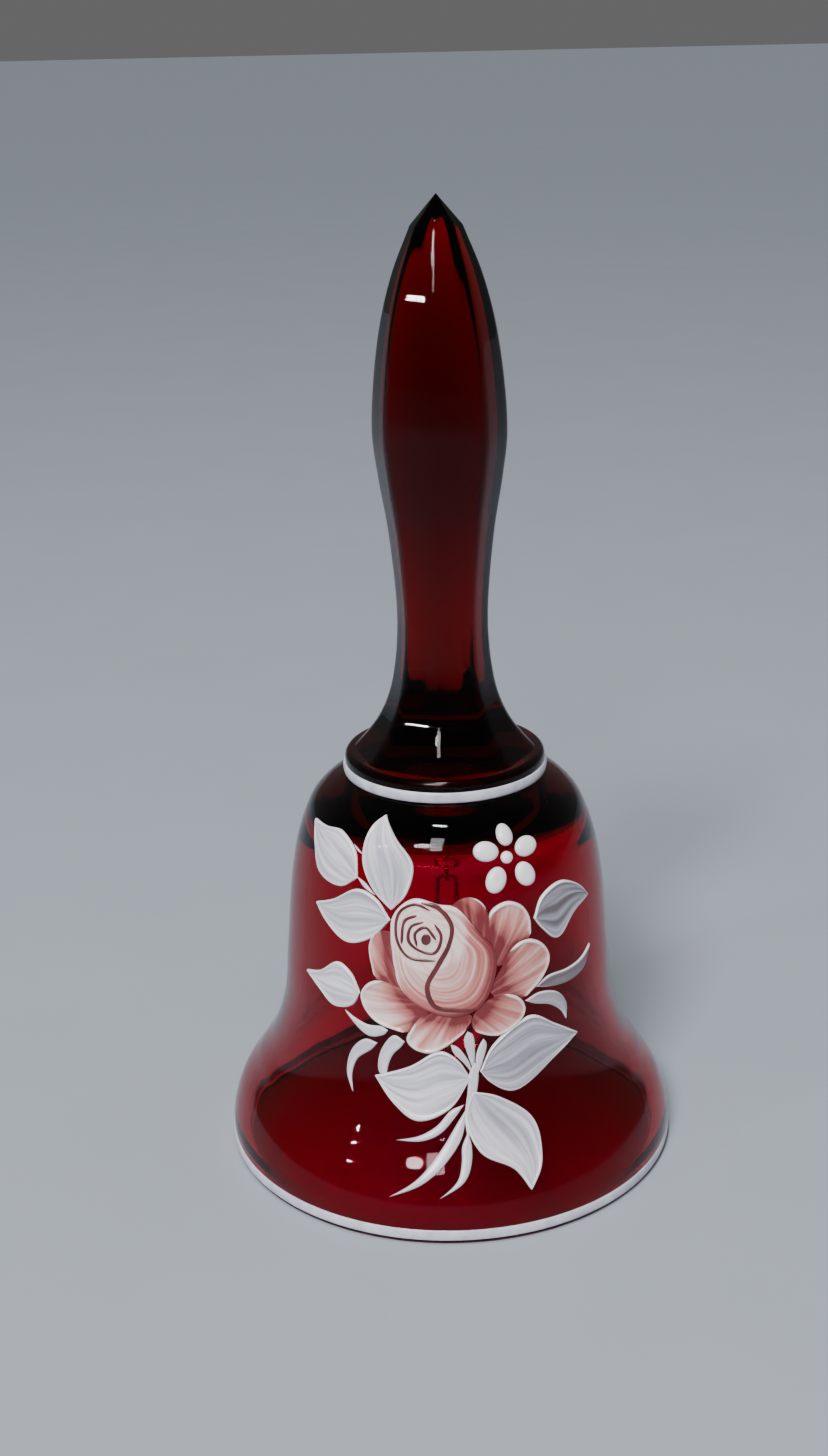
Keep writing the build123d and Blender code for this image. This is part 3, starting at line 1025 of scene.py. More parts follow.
@dataclass(frozen=True)
class Stroke:
    """A pointed dab: a leaf, stem or tendril, drawn from its base to its tip and back.

    Points are azimuth in degrees and height in millimetres.
    """

    node: str
    base: Point
    first_side: tuple[Point, ...]
    tip: Point
    second_side: tuple[Point, ...]
    # Depth of the stroke's colour; on the strokes to the right it is partly thinner paint and partly painted shade
    shade: float = 0.3

    def build(self, sheet: Sheet, lay: Lay, cells: tuple[int, int], seed: float, base: float = 0.0
              ) -> bpy.types.Object:
        """Lays the stroke on the bowl with its marks running from base to tip.

        Args:
            sheet: what lays a grid on the bowl.
            lay: how the enamel stands on the glass.
            cells: cells across and along the stroke.
            seed: start of the brush marks' pattern.
            base: millimetres that the dab starts above the glass.

        Returns:
            The finished piece.
        """
        middle = (self.base[0] + self.tip[0]) / 2
        radius, _, _ = sheet.bowl.surface((self.base[1] + self.tip[1]) / 2)
        degree = math.radians(1) * radius
        samples = 80

        def flat(points: Sequence[Point]) -> np.ndarray:
            """A side of the stroke as an even line in flat millimetres."""
            local = [((a - middle) * degree, z) for a, z in points]
            return evenly(curve_through(local, steps=12), samples)

        one = flat((self.base, *self.first_side, self.tip))
        two = flat((self.base, *reversed(self.second_side), self.tip))
        shares = np.linspace(0, 1, samples)

        def at(line: np.ndarray, v: float) -> np.ndarray:
            """The point a share of the way along a side."""
            return np.array([np.interp(v, shares, line[:, 0]), np.interp(v, shares, line[:, 1])])

        def paint(u: float, v: float) -> Paint:
            """Paints a grid point.

            Args:
                u: share of the way across the grid.
                v: share of the way along it.

            Returns:
                Azimuth, height, edge distance, streak, shade and share of the full thickness.
            """
            across, along = ease_to_edges(u), ease_to_edges(v, 0.3)
            left, right = at(one, along), at(two, along)
            spot = left + (right - left) * across
            width = float(np.linalg.norm(right - left))
            near = min(across, 1 - across) * width
            ends = min(along, 1 - along) * float(np.linalg.norm(one[-1] - one[0]))
            edge = min(near, ends + 0.2 * near)
            streak = streak_at(across, along, lay.streak_count, seed)
            # Deeper down the middle and paler towards the tip, scaled by the stroke's shade, which holds painted shade
            # on the right-hand strokes
            fold = self.shade * (1.15 - 0.5 * abs(across - 0.4)) - 0.1 * along
            return middle + spot[0] / degree, float(spot[1]), edge, streak, fold, 1.0

        return sheet.build("enamel_" + self.node, cells[0], cells[1], lay, base, paint)


@dataclass(frozen=True)
class RoundDab:
    """A closed dab laid round a heart: a petal, the bud or a dot."""

    node: str
    heart: Point
    outline: tuple[Point, ...]
    root: Point | None = None
    # Strength of the painted shade round the edges of the dabs painted over this one
    crease_shade: float = 0.8

    def line(self) -> np.ndarray:
        """Azimuths and heights along the closed outline."""
        return evenly(curve_through(self.outline, steps=12, closed=True), 160, closed=True)

    def build(self, sheet: Sheet, lay: Lay, cells: tuple[int, int], seed: float,
              tone: Callable[[float, float, float], Point], base: float = 0.0,
              covers: Sequence[np.ndarray] = ()) -> bpy.types.Object:
        """Lays the dab on the bowl.

        Args:
            sheet: what lays a grid on the bowl.
            lay: how the enamel stands on the glass.
            cells: cells round the outline and out from the heart.
            seed: start of the brush marks' pattern.
            tone: gives, from azimuth, height and edge distance, the shade and how much further
                in from the pale rim the paint looks.
            base: millimetres that the dab starts above the glass.
            covers: outlines of the dabs painted over this one, which is thin where they hide it
                and darker round their edges, as painted shade.

        Returns:
            The finished piece.
        """
        radius, _, _ = sheet.bowl.surface(self.heart[1])
        degree = math.radians(1) * radius
        local = [((a - self.heart[0]) * degree, z - self.heart[1]) for a, z in self.outline]
        loop = evenly(curve_through(local, steps=12, closed=True), 240, closed=True)
        closing = np.vstack([loop, loop[:1]])
        shares = np.linspace(0, 1, len(closing))

        def paint(u: float, v: float) -> Paint:
            """Paints a grid point.

            Args:
                u: share of the way across the grid.
                v: share of the way along it.

            Returns:
                Azimuth, height, edge distance, streak, shade and share of the full thickness.
            """
            rim = np.array([np.interp(u, shares, closing[:, 0]), np.interp(u, shares, closing[:, 1])])
            out = 1 - (1 - v) ** 1.35
            spot = rim * out
            edge = float(np.min(np.linalg.norm(loop - spot, axis=1))) if out < 1 else 0.0
            azimuth = self.heart[0] + spot[0] / degree
            height = self.heart[1] + float(spot[1])
            if self.root is None:
                drift = 0.35 * math.sin(2 * math.pi * u) * min(3 * out, 1.0)
                streak = streak_at(out, drift, lay.streak_count, seed)
            else:
                aside, up = (azimuth - self.root[0]) * degree, height - self.root[1]
                streak = streak_at(math.atan2(up, aside), 0.08 * math.hypot(aside, up), lay.streak_count, seed)
            shade, free = tone(azimuth, height, edge)
            hidden = max((depth_inside(cover, azimuth, height) for cover in covers), default=-100.0)
            # Painted shade: deeper and without the pale rim just round and under the dabs painted over this one
            crease_shade = self.crease_shade * math.exp(min(hidden, 0.0) / 0.75)
            thick = 1 - 0.75 * min(max(hidden / 0.45, 0.0), 1.0)
            return azimuth, height, edge + free + 2 * crease_shade, streak, min(shade + crease_shade, 1.0), thick

        return sheet.build("enamel_" + self.node, cells[0], cells[1], lay, base, paint, fan=True)


@dataclass(frozen=True)
class BrushLine:
    """A thin dark line drawn on the bud, tapering at both ends."""

    node: str
    width: float
    points: tuple[Point, ...]

    def build(self, sheet: Sheet, lay: Lay, base: float, seed: float) -> bpy.types.Object:
        """Lays the line along its curve.

        Args:
            sheet: what lays a grid on the bowl.
            lay: how the enamel stands on the glass.
            base: millimetres that the line starts above the glass.
            seed: start of its unevenness.

        Returns:
            The finished line.
        """
        middle = self.points[0][0]
        radius, _, _ = sheet.bowl.surface(self.points[0][1])
        degree = math.radians(1) * radius
        local = [((a - middle) * degree, z) for a, z in self.points]
        line = evenly(curve_through(local, steps=14), 160)
        ahead = np.gradient(line, axis=0)
        side = np.stack([-ahead[:, 1], ahead[:, 0]], axis=1) / np.linalg.norm(ahead, axis=1)[:, None]
        shares = np.linspace(0, 1, len(line))

        def paint(u: float, v: float) -> Paint:
            """Paints a grid point.

            Args:
                u: share of the way across the grid.
                v: share of the way along it.

            Returns:
                Azimuth, height, edge distance, streak, shade and share of the full thickness.
            """
            spot = np.array([np.interp(v, shares, line[:, i]) for i in range(2)])
            away = np.array([np.interp(v, shares, side[:, i]) for i in range(2)])
            swell = 1 + 0.25 * noise.noise(Vector((v * 5, seed, 0)))
            taper = min(1.0, 0.35 + 9 * min(v, 1 - v))
            wide = self.width * swell * taper
            spot = spot + away * (u - 0.5) * wide
            edge = min(u, 1 - u) * wide
            return middle + spot[0] / degree, float(spot[1]), edge, 0.5, 0.5, 1.0

        return sheet.build("enamel_" + self.node, 6, max(24, 10 * len(self.points)), lay, base, paint)


BUD = RoundDab("rose_bud", (-5, 48.5), (
    (-12, 56.5), (-3, 55.7), (3, 55.2), (10, 51.2), (15.8, 47.5), (15.2, 42.5),
    (10, 38), (1, 36.6), (-9, 38.1), (-16.2, 41.6), (-19.2, 47), (-19.2, 53.5)))

# From the back petal to the front one.
PETALS = (
    RoundDab("petal_left", (-20.5, 45), (
        (-27.9, 47.8), (-24.5, 50.3), (-19.5, 50.5), (-15.5, 46), (-15, 40.5), (-21, 40), (-25.3, 42.6)), (-14, 38)),
    RoundDab("petal_top", (10, 51), (
        (1.5, 55.3), (7, 56.7), (12, 55.8), (14.8, 52.5), (16.5, 48), (11, 47), (4, 51)), (12, 42)),
    RoundDab("petal_upper_right", (21, 50), (
        (14.6, 50.5), (15.2, 54), (21.5, 55.3), (27.5, 54),
        (30, 51.3), (28.2, 48.2), (23, 45.5), (15.5, 45)), (12, 42)),
    RoundDab("petal_right", (26, 43.4), (
        (14, 40.5), (18, 44.2), (21.5, 47), (27, 48.4), (34, 47),
        (37, 44.2), (33.5, 40.9), (26, 38.6), (18, 38.5)), (8, 39)),
    RoundDab("petal_lower_left", (-19, 37.6), (
        (-30.9, 38.8), (-28, 41), (-22.5, 41.9), (-15, 40.8), (-8, 38),
        (-6, 36), (-10, 34), (-17, 33.5), (-25, 34.4), (-29.6, 36.6)), (4, 39)),
    RoundDab("petal_lower_right", (17, 36), (
        (7.4, 35), (10, 38), (18, 39.6), (24, 38.6), (26.4, 36.3), (23.5, 34), (16, 32.4), (9.5, 33.5)), (-2, 42)),
    RoundDab("petal_bottom", (-4, 34), (
        (-14.2, 32), (-12, 34.5), (-8.5, 36.6), (0, 37.5), (7.5, 36.5),
        (5.5, 34.3), (0, 31.5), (-6.5, 29.9), (-11.8, 30.5)), (6, 42)),
)
LEAVES = (
    Stroke("leaf_high_left", (-34.6, 58.3), ((-37.5, 62.2), (-47, 64.5), (-58, 64.1)), (-68, 64),
           ((-61, 60.4), (-54, 56.8), (-42, 56.1)), 0.3),
    Stroke("leaf_top", (-20, 54.2), ((-28, 57.2), (-34, 61.5), (-33.5, 66.2)), (-29, 67.9),
           ((-21, 65.3), (-12.8, 61.8), (-14.5, 57.2)), 0.32),
    Stroke("leaf_mid_left", (-20.2, 52.6), ((-26, 55.7), (-34, 56.6), (-45, 53.6)), (-54, 51.8),
           ((-47, 49.2), (-37, 47.1), (-27, 49)), 0.35),
    Stroke("leaf_small_left", (-31.2, 38.9), ((-35, 41.9), (-41, 43.1), (-50, 40.1)), (-58, 38.7),
           ((-50, 36.9), (-42, 35), (-34, 36.3)), 0.2),
    # leaf_right and leaf_low_right are deeper partly from thinner paint and partly as painted shade, for light from
    # the left
    Stroke("leaf_right", (31.5, 51.5), ((35.5, 54.7), (45, 56.1), (55, 54.1)), (61, 51.2),
           ((50, 49.8), (41, 46.8), (34.5, 49.4)), 0.75),
    Stroke("leaf_low_right", (9.7, 26.6), ((15, 31.2), (28, 34.8), (38, 31.9)), (48, 28.5),
           ((36, 26.1), (20, 22.6), (12.5, 24.7)), 0.55),
    Stroke("leaf_low_left", (6.6, 25.6), ((2.8, 28.6), (-3, 30.3), (-13, 27.4)), (-24.7, 25),
           ((-17.5, 21), (-10, 18.8), (0, 20.8)), 0.35),
    Stroke("leaf_bottom", (7, 23.4), ((15, 22.2), (25, 17.8), (24.5, 12.2)), (20, 8.2),
           ((16.5, 11.6), (8, 14.4), (4.3, 19.4)), 0.35),
)
STEMS = (
    Stroke("stem_middle", (7.6, 26.8), ((6.2, 29), (4.8, 32.3)), (6, 33.7), ((7.8, 33), (8.3, 29.5))),
    Stroke("stem_right", (8.8, 25.9), ((8.5, 28.8), (9.8, 31)), (11.3, 32.2), ((12.3, 31.2), (10.6, 28))),
    Stroke("stem_left", (7.3, 26.2), ((4.6, 28.1), (1.2, 30)), (0.3, 31.5), ((2.6, 31), (6.2, 28.4))),
    Stroke("stem_main", (4.9, 15.8), ((4.2, 19.5), (5.3, 23), (6.3, 26.5)), (8.2, 28.2),
           ((9.2, 26.3), (8, 22.5), (6.2, 19.5))),
    Stroke("twig_high", (-39.5, 63.3), ((-37, 62.8),), (-33.6, 62), ((-37, 62.45),)),
    Stroke("twig_middle", (-34.8, 58.5), ((-31, 57.8),), (-26.5, 56.2), ((-31.5, 57.1),)),
    Stroke("tendril_low_left", (4.2, 21.4), ((0.2, 20.6), (-4, 18.3), (-9, 16.8)), (-15.8, 15.9),
           ((-8, 16.1), (-3, 17.2), (1.2, 19.4))),
    Stroke("tendril_low_middle", (4.6, 20.6), ((1.6, 18.4), (-3.5, 14.4), (-9, 10.8)), (-15.6, 7.9),
           ((-7.5, 10.2), (-0.8, 13.6), (3.4, 17))),
    Stroke("tendril_low_right", (4.8, 17.3), ((3, 15.3), (2.8, 13.4), (1.6, 10.9)), (-3, 8.2),
           ((3.4, 10.7), (5.4, 13.1), (5.7, 15.6))),
    # The right tendrils are deeper partly from thinner paint and partly as painted shade, for light from the left
    Stroke("tendril_right_high", (30.2, 39.6), ((36, 40.8), (45, 40.7), (53, 41.2)), (59, 42.6),
           ((54.5, 39.4), (47, 38.3), (36, 38.8)), 0.95),
    Stroke("tendril_right_low", (26.3, 37.6), ((32, 38.4), (39.5, 37.4), (43.5, 34.8)), (43, 31.8),
           ((41, 33.6), (36, 35.6), (30, 36.6)), 0.6),
    Stroke("tendril_left_high", (-20.6, 33.2), ((-23, 33.7), (-28, 33.5), (-33, 34.1)), (-37.3, 35),
           ((-33.5, 33.2), (-27.5, 31.5), (-22, 32.3))),
    Stroke("tendril_left_low", (-24.4, 30.6), ((-29, 30.8), (-34.2, 28.2), (-35, 24.4)), (-31.6, 21.4),
           ((-33, 24.4), (-31.5, 27), (-26.5, 29.2))),
    Stroke("tendril_left_hook", (-14.8, 31.6), ((-18.5, 32.5), (-23.2, 29.3), (-23.6, 26)), (-20.8, 24.7),
           ((-20.3, 27), (-18.8, 29), (-16, 30.6))),
)
# Azimuth, height, half length, half width and tilt of each dab of the blossom.
BLOSSOM = {
    "blossom_top": (24.7, 65.3, 1.5, 1.4, 90),
    "blossom_upper_left": (15.6, 63.4, 2.15, 1.5, -6),
    "blossom_upper_right": (32.8, 63.1, 2.1, 1.5, 8),
    "blossom_lower_left": (18.3, 58.9, 2.15, 1.7, 60),
    "blossom_lower_right": (30.2, 59, 2.05, 1.7, 120),
    "blossom_centre": (23.7, 62.1, 1.05, 0.95, 0),
}
BUD_EYE = (-7.3, 50, 0.95, 0.8, 80)
BUD_LINES = (
    BrushLine("line_fold", 0.75, ((-9, 56), (-3, 55.2), (1.3, 52.4), (0.4, 49.2), (-3.4, 45.6), (-7, 41.8),
                                 (-4.6, 38.5), (1.5, 37.8), (8.6, 37.7))),
    BrushLine("line_outer", 0.5, ((-6, 54.8), (-11, 55.7), (-16.6, 54.2), (-17.5, 50), (-13.5, 46.9), (-4.4, 46.4))),
    BrushLine("line_third", 0.5, ((-10.5, 53.9), (-14.6, 52.9), (-15.7, 49))),
    BrushLine("line_second", 0.5, ((-8.2, 52.9), (-12.4, 52), (-13.2, 49.6), (-9.6, 48.1), (-4.4, 47.8),
                                    (-2.2, 50.6), (-4.4, 52.6))),
    BrushLine("line_inner", 0.5, ((-10.4, 48.8), (-11, 50.9), (-7.6, 52), (-3.9, 50))),
)


@dataclass
class Spray:
    """The raised rose, leaves, tendrils and blossom painted on the front of the bowl."""

    bowl: BowlShape
    design_height: float = 69.5
    leaf_lay: Lay = Lay(body=0.3, rim=0.16, edge=0.3, streaks=0.09, streak_count=11)
    stem_lay: Lay = Lay(body=0.34, edge=0.45, streaks=0.04, streak_count=4)
    petal_lay: Lay = Lay(body=0.3, rim=0.24, edge=0.36, streaks=0.06, streak_count=9)
    bud_lay: Lay = Lay(body=0.62, rim=0.06, edge=0.5, streaks=0.07, streak_count=26)
    dot_lay: Lay = Lay(body=0.85, edge=1.3)
    line_lay: Lay = Lay(body=0.14, edge=0.16, sink=0.2)
    line_base: float = 0.64

    def bud_tone(self, azimuth: float, height: float, edge: float) -> Point:
        """Shades the bud: white round the eye, deeper pink to the right and below.

        Args:
            azimuth: degrees round the axis from the front.
            height: millimetres above the table.
            edge: millimetres from the bud's edge.

        Returns:
            The shade, and how much further in from the pale rim the paint looks.
        """
        inner = math.hypot((azimuth + 6.5) / 11.8, (height - 51.0) / 6.0)
        if inner < 1.0:
            return 0.02, 0.0
        step = min((inner - 1.0) * 6.0, 1.0)
        right = min(max((azimuth - 2) / 16, 0.0), 1.0)
        low = min(max((44 - height) / 8, 0.0), 1.0)
        skirt = math.exp(-edge / 1.3) * max(right, low)
        return 0.02 + step * (0.24 + 0.2 * right + 0.24 * low + 0.8 * skirt), 1.5 * max(right, low)

    def petal_tone(self, bud_line: np.ndarray) -> Callable[[float, float, float], Point]:
        """Makes a petal's shade: deep where it tucks under the bud, pale at its outer rim.

        Args:
            bud_line: azimuths and heights along the bud's outline.

        Returns:
            What gives the shade and the freedom from the rim at a place.
        """

        def tone(azimuth: float, height: float, edge: float) -> Point:
            """Shades a place of a petal by its distance to the bud, as bud_tone does for the bud."""
            gap = float(np.min(np.hypot((bud_line[:, 0] - azimuth) * DEGREE, bud_line[:, 1] - height)))
            shaded = 0.18 * min(max((azimuth - 4) / 8, 0.0), 1.0)
            return min(1.0, 1.3 * math.exp(-gap / 2.4) + shaded + 0.08), 2.5 * math.exp(-((gap / 2.2) ** 2))

        return tone

    def oval(self, node: str, azimuth: float, height: float, half_long: float, half_short: float, tilt: float
             ) -> RoundDab:
        """Outlines a small oval dab on the bowl.

        Args:
            node: its CAD node.
            azimuth: degrees of its heart round the axis from the front.
            height: millimetres of its heart above the table.
            half_long: half its length in millimetres.
            half_short: half its width in millimetres.
            tilt: degrees that its long axis turns from level.

        Returns:
            The dab.
        """
        radius, _, _ = self.bowl.surface(height)
        degree = math.radians(1) * radius
        lean = math.radians(tilt)
        points = []
        for turn in np.linspace(0, 2 * math.pi, 12, endpoint=False):
            along, aside = half_long * math.cos(turn), half_short * math.sin(turn)
            right = along * math.cos(lean) - aside * math.sin(lean)
            up = along * math.sin(lean) + aside * math.cos(lean)
            points.append((azimuth + right / degree, height + up))
        return RoundDab(node, (azimuth, height), tuple(points))

    def build(self) -> None:
        """Lays every dab, back to front, and gives each its enamel."""
        sheet = Sheet(self.bowl, self.design_height)
        bell = Body.BELL.value
        pink = BrushedEnamel("pink_enamel", (0.84, 0.68, 0.64), (0.56, 0.2, 0.175), (0.17, 0.018, 0.022),
                             (0.88, 0.78, 0.76), 0.5, 0.8).material()
        leaf = BrushedEnamel("leaf_enamel", (0.82, 0.81, 0.84), (0.43, 0.42, 0.5), (0.13, 0.115, 0.125),
                             (0.9, 0.9, 0.92), 0.62, 0.5).material()
        stem = BrushedEnamel("stem_enamel", (0.76, 0.75, 0.79), (0.5, 0.48, 0.55), (0.15, 0.115, 0.12),
                             (0.72, 0.7, 0.75), 0.3, 0.3).material()
        white = PlainEnamel("blossom_enamel", (0.78, 0.78, 0.8), (0.9, 0.89, 0.9)).material()
        dark = PlainEnamel("line_enamel", (0.06, 0.008, 0.011), (0.13, 0.02, 0.024)).material()

        bud_line = BUD.line()
        tone = self.petal_tone(bud_line)
        for order, petal in enumerate(PETALS):
            covers = [bud_line, *(front.line() for front in PETALS[order + 1:])]
            made = petal.build(sheet, self.petal_lay, (112, 30), 3.0 + order, tone, 0.01 * order, covers)
            dress(made, pink, Slot.PINK, bell, petal.node)
        bud = BUD.build(sheet, self.bud_lay, (128, 40), 1.0, self.bud_tone)
        dress(bud, pink, Slot.PINK, bell, BUD.node)
        for order, stroke in enumerate(STEMS):
            made = stroke.build(sheet, self.stem_lay, (8, 36), 20.0 + order)
            dress(made, stem, Slot.STEM, bell, stroke.node)
        for order, stroke in enumerate(LEAVES):
            made = stroke.build(sheet, self.leaf_lay, (36, 44), 40.0 + order)
            dress(made, leaf, Slot.LEAF, bell, stroke.node)
        for order, (node, dab) in enumerate(BLOSSOM.items()):
            made = self.oval(node, *dab).build(sheet, self.dot_lay, (40, 12), 60.0 + order, lambda *_: (0.0, 0.0))
            dress(made, white, Slot.WHITE, bell, node)
        eye = self.oval("rose_eye", *BUD_EYE).build(sheet, self.line_lay, (32, 8), 70.0, lambda *_: (0.5, 0.0),
                                                    self.line_base)
        dress(eye, dark, Slot.DARK, bell, "rose_eye")
        for order, line in enumerate(BUD_LINES):
            made = line.build(sheet, self.line_lay, self.line_base, 80.0 + order)
            dress(made, dark, Slot.DARK, bell, line.node)


# ---- hanger, chain and clapper -------------------------------------------------------
@dataclass
class WireWork:
    """Eye, oval links and the clapper's wire, bent from round plated wire."""

    finish: PlatedWire
    link_count: int = 5
    wire: float = 1.0
    seam_depth: float = 0.14  # share of the link's width by which the wire is pinched at its seam
    seam_half: float = 0.12
    seam_height: float = 0.3  # share of the straight side

    def oval(self, name: str, node: str) -> bpy.types.Object:
        """Bends an oval link to the box of its CAD node, with a butt seam on one side.

        Args:
            name: name of the new piece.
            node: its CAD node.

        Returns:
            The finished link.
        """
        low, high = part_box(node)
        size = high - low
        wide = max(size.x, size.y)
        upright_x = size.x > size.y
        half_wire = self.wire * MM / 2
        bend = wide / 2 - half_wire
        straight = size.z / 2 - wide / 2
        middle = (low + high) / 2
        deselect()
        bpy.ops.mesh.primitive_torus_add(major_radius=bend, minor_radius=half_wire, major_segments=40,
                                         minor_segments=16)
        link = named(name)
        with editing(link):
            select_verts(link, lambda place: place.y > WELD)
            bpy.ops.transform.translate(value=(0, straight, 0))
            select_verts(link, lambda place: place.y < -WELD)
            bpy.ops.transform.translate(value=(0, -straight, 0))
            seam = straight * self.seam_height
            for height in (-self.seam_half, 0.0, self.seam_half):
                bpy.ops.mesh.select_all(action="SELECT")
                bpy.ops.mesh.bisect(plane_co=(0, height * MM + seam, 0), plane_no=(0, 1, 0))
            select_verts(link, lambda place: place.x > 0 and abs(place.y - seam) < 0.02 * MM)
            shrink = 1 - self.seam_depth
            bpy.ops.transform.resize(value=(shrink, 1, shrink), center_override=(bend, seam, 0))
        upright = Matrix.Rotation(math.pi / 2, 4, "X")
        if not upright_x:
            upright = Matrix.Rotation(math.pi / 2, 4, "Z") @ upright
        link.data.transform(Matrix.Translation(middle) @ upright)
        settle(link, 50.0)
        return link

    def clapper_wire(self) -> bpy.types.Object:
        """Bends the wire through the bead: a loop, its wrapped neck, a shank and a headed foot.

        Returns:
            The finished wire.
        """
        low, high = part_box("clapper_wire")
        half_wire = self.wire * MM / 2
        loop_radius = (high.y - low.y) / 2 - half_wire
        centre = high.z - loop_radius - half_wire
        foot_radius = (high.x - low.x) / 2
        foot_height = 0.8 * MM
        deselect()
        bpy.ops.mesh.primitive_torus_add(major_radius=loop_radius, minor_radius=half_wire, major_segments=40,
                                         minor_segments=16, location=(0, 0, centre), rotation=(0, math.pi / 2, 0))
        parts = [named("clapper_loop")]
        neck = centre - loop_radius
        shank = [(half_wire, neck), (half_wire, neck - 3 * MM), (half_wire, low.z + foot_height)]
        edge = 0.3 * MM
        foot = [(foot_radius - edge, low.z + foot_height), (foot_radius, low.z + foot_height - edge),
                (foot_radius, low.z + edge), (foot_radius - edge, low.z), (0.0, low.z)]
        parts.append(stack_rings("clapper_shank", 24, [*shank, *foot]))
        for turn in range(3):
            deselect()
            bpy.ops.mesh.primitive_torus_add(
                major_radius=half_wire * 1.75, minor_radius=half_wire * 0.62, major_segments=28, minor_segments=10,
                location=(0, 0, neck - (0.95 + 0.6 * turn) * MM), rotation=(0.12, 0.05, turn))
            parts.append(named(f"clapper_wrap_{turn}"))
        for part in parts:
            pick(part)
            bpy.ops.object.transform_apply(location=True, rotation=True, scale=True)
        pick(*parts)
        bpy.context.view_layer.objects.active = parts[0]
        bpy.ops.object.join()
        wire = named("clapper_pin")
        settle(wire, 45.0)
        return wire

    def build(self) -> None:
        """Bends and places every wire piece."""
        metal = self.finish.material()
        eye = self.oval("hanger_loop", "hanger_eye")
        dress(eye, metal, Slot.WIRE, Body.BELL.value, "hanger_eye")
        for count in range(1, self.link_count + 1):
            link = self.oval(f"oval_link_{count}", f"chain_link_{count}")
            dress(link, metal, Slot.WIRE, f"link_{count}", f"chain_link_{count}")
        dress(self.clapper_wire(), metal, Slot.WIRE, Body.CLAPPER.value, "clapper_wire")


@dataclass
class CementDab:
    """The dab of cement that holds the eye under the crown."""

    seed: float = 5.0

    def build(self) -> bpy.types.Object:
        """Builds a lumpy dome as large as its CAD solid, flat against the glass.

        Returns:
            The finished dab.
        """
        low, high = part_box("crown_cement")
        reach = (high.x - low.x) / 2
        drop = high.z - low.z
        deselect()
        bpy.ops.mesh.primitive_uv_sphere_add(segments=48, ring_count=32, radius=1)
        dome = named("cement_dome")
        with editing(dome):
            bpy.ops.mesh.bisect(plane_co=(0, 0, 0), plane_no=(0, 0, 1), clear_outer=True, use_fill=True)
        for vertex in dome.data.vertices:
            place = vertex.co
            lump = 1 - 0.05 * (1 + noise.noise(place * 2.3 + Vector((self.seed, 0, 0))))
            vertex.co = Vector((place.x * reach * lump, place.y * reach * lump, high.z + place.z * drop * lump))
        settle(dome, 50.0)
        dress(dome, CastCement("crown_cement").material(), Slot.CEMENT, Body.BELL.value, "crown_cement")
        return dome


@dataclass
class Bead:
    """The round glass bead, bored through and ground flat at both ends."""

    finish: TintedGlass
    bore: float = 0.55
    flat: float = 1.6
    soften: float = 0.25

    def build(self) -> bpy.types.Object:
        """Turns the bead to the size of its CAD solid.

        Returns:
            The finished bead.
        """
        low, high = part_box("clapper_bead")
        radius = (high.x - low.x) / 2
        middle = (low.z + high.z) / 2
        flat_angle = math.asin((self.flat + self.soften) * MM / radius)
        ball = [(radius * math.sin(a), middle + radius * math.cos(a))
                for a in np.linspace(flat_angle, math.pi - flat_angle, 40)]
        rings = [(self.bore * MM, low.z + 0.3 * MM), (self.bore * MM, high.z - 0.3 * MM),
                 ((self.bore + 0.2) * MM, high.z), (self.flat * MM, high.z), *ball,
                 (self.flat * MM, low.z), ((self.bore + 0.2) * MM, low.z), (self.bore * MM, low.z + 0.3 * MM)]
        bead = stack_rings("striking_bead", 64, rings, cap_low=False)
        settle(bead, 40.0)
        dress(bead, self.finish.material(), Slot.CLEAR, Body.CLAPPER.value, "clapper_bead")
        return bead


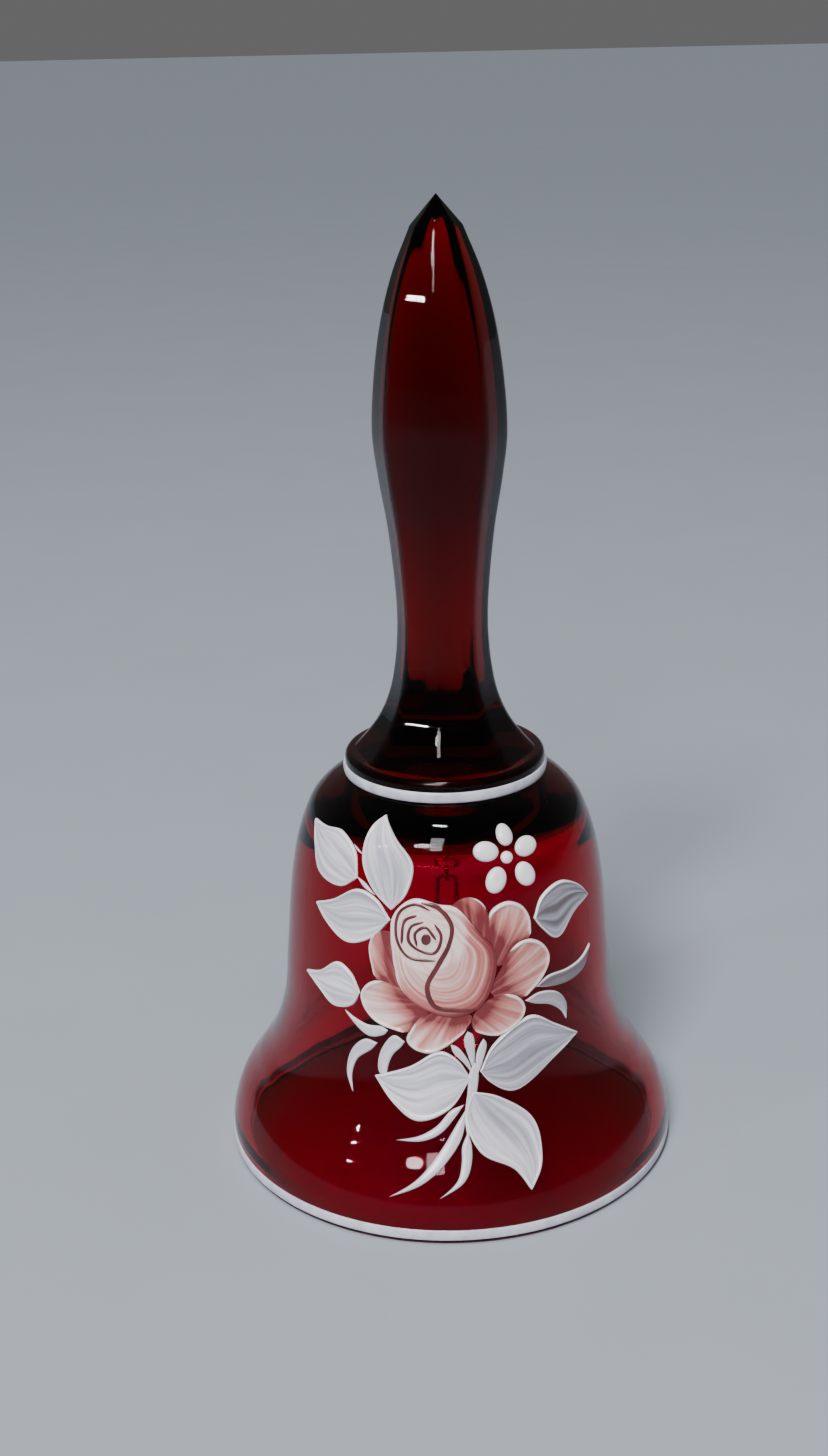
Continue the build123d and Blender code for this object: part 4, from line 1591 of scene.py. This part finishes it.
# ---- studio --------------------------------------------------------------------------
@dataclass
class Studio:
    """Camera, floor and soft lights."""

    eye: tuple[float, float, float] = (0.0, -0.3083, 0.1885)
    pitch: float = 19.94
    yaw: float = -0.964
    roll: float = -1.26
    lens: float = 47.4
    middle: tuple[float, float, float] = (0, 0, 0.1)  # what the lights point at
    sky: Colour = (0.9, 0.9, 0.92)
    sky_strength: float = 0.15

    def camera(self) -> None:
        """Sets the camera up."""
        pitch, yaw, roll = (math.radians(angle) for angle in (self.pitch, self.yaw, self.roll))
        ahead = Vector((math.sin(yaw) * math.cos(pitch), math.cos(yaw) * math.cos(pitch), -math.sin(pitch)))
        right = Vector((math.cos(yaw), -math.sin(yaw), 0))
        up = right.cross(ahead)
        turned = right * math.cos(roll) + up * math.sin(roll)
        above = up * math.cos(roll) - right * math.sin(roll)
        data = bpy.data.cameras.new("camera")
        data.lens = self.lens
        data.sensor_width = 36.0
        data.clip_start = 0.01
        data.clip_end = 20.0
        view = bpy.data.objects.new("camera", data)
        bpy.context.scene.collection.objects.link(view)
        axes = Matrix((turned, above, -ahead)).transposed().to_4x4()
        view.matrix_world = Matrix.Translation(self.eye) @ axes
        bpy.context.scene.camera = view

    def lamp(self, name: str, place: Vector, size: tuple[float, float], power: float) -> None:
        """Adds a soft rectangular light that points at the middle of the bell.

        Args:
            name: name of the light.
            place: where it hangs, in metres.
            size: its width and height in metres.
            power: its power in watts.
        """
        data = bpy.data.lights.new(name, "AREA")
        data.shape = "RECTANGLE"
        data.size, data.size_y = size
        data.energy = power
        lamp = bpy.data.objects.new(name, data)
        bpy.context.scene.collection.objects.link(lamp)
        lamp.location = place
        lamp.rotation_euler = (Vector(self.middle) - place).to_track_quat("-Z", "Y").to_euler()

    def around(self, azimuth: float, elevation: float, distance: float) -> Vector:
        """Finds a place round the bell.

        Args:
            azimuth: degrees round the axis from the front.
            elevation: degrees up from the table.
            distance: metres from the origin.

        Returns:
            The place, in metres.
        """
        turn, rise = math.radians(azimuth), math.radians(elevation)
        level = distance * math.cos(rise)
        return Vector((level * math.sin(turn), -level * math.cos(turn), distance * math.sin(rise)))

    def sun(self, name: str, azimuth: float, elevation: float, spread: float, power: float) -> None:
        """Adds an even soft light over the whole floor.

        Args:
            name: name of the light.
            azimuth: degrees round the axis that it comes from.
            elevation: degrees up from the table that it comes from.
            spread: how wide it looks, in degrees.
            power: its strength.
        """
        data = bpy.data.lights.new(name, "SUN")
        data.energy = power
        data.angle = math.radians(spread)
        lamp = bpy.data.objects.new(name, data)
        bpy.context.scene.collection.objects.link(lamp)
        lamp.rotation_euler = (-self.around(azimuth, elevation, 1.0)).to_track_quat("-Z", "Y").to_euler()

    def build(self) -> None:
        """Sets up camera, floor, lights and surroundings."""
        self.camera()
        deselect()
        bpy.ops.mesh.primitive_plane_add(size=40.0, location=(0, 0, 0))
        floor = named("floor")
        floor.data.materials.append(PaleTable("pale_table", (0.37, 0.41, 0.47)).material())
        self.sun("key", -22.0, 41.0, 12.0, 2.3)
        self.lamp("strip", self.around(-9.0, 46.0, 1.1), (0.16, 0.5), 6.0)
        self.lamp("side", self.around(-56.0, 27.0, 1.0), (0.04, 0.022), 0.9)
        self.lamp("top", self.around(-12.0, 76.0, 1.1), (0.14, 0.04), 4.0)
        world = bpy.data.worlds.new("studio")
        world.use_nodes = True
        background = world.node_tree.nodes["Background"].inputs
        background["Color"].default_value = (*self.sky, 1)
        background["Strength"].default_value = self.sky_strength
        bpy.context.scene.world = world


def main() -> None:
    """Builds the studio and every piece of the bell."""
    logging.basicConfig(level=logging.INFO, format="%(name)s: %(message)s")
    Studio().build()
    bowl_low, bowl_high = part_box("bell_bowl")
    handle_low, handle_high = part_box("handle")
    bowl = BowlShape(height=bowl_high.z / MM, rim_radius=bowl_high.x / MM,
                     collar_radius=(handle_high.x - handle_low.x) / 2 / MM)
    handle = HandleShape(base=handle_low.z / MM, top=handle_high.z / MM, collar_radius=bowl.collar_radius)
    ruby = TintedGlass("ruby_glass", 0.03, (0.932, 0.0, 0.6), 1650.0, 0.3)
    GlassBody(bowl, handle, ruby).build()
    line = PlainEnamel("band_enamel", (0.5, 0.5, 0.6), (0.7, 0.7, 0.78), 0.3, 420.0).material()
    EnamelBand("neck_band", bowl.collar_radius, 1.7).build(line)
    EnamelBand("rim_band", bowl.rim_radius, 4.1).build(line)
    Spray(bowl).build()
    WireWork(PlatedWire("plated_wire", (0.78, 0.76, 0.72), (0.42, 0.4, 0.37))).build()
    CementDab().build()
    Bead(TintedGlass("bead_glass", 0.03, (0.85, 0.95, 0.93), 12.0)).build()


if __name__ == "__main__":
    main()
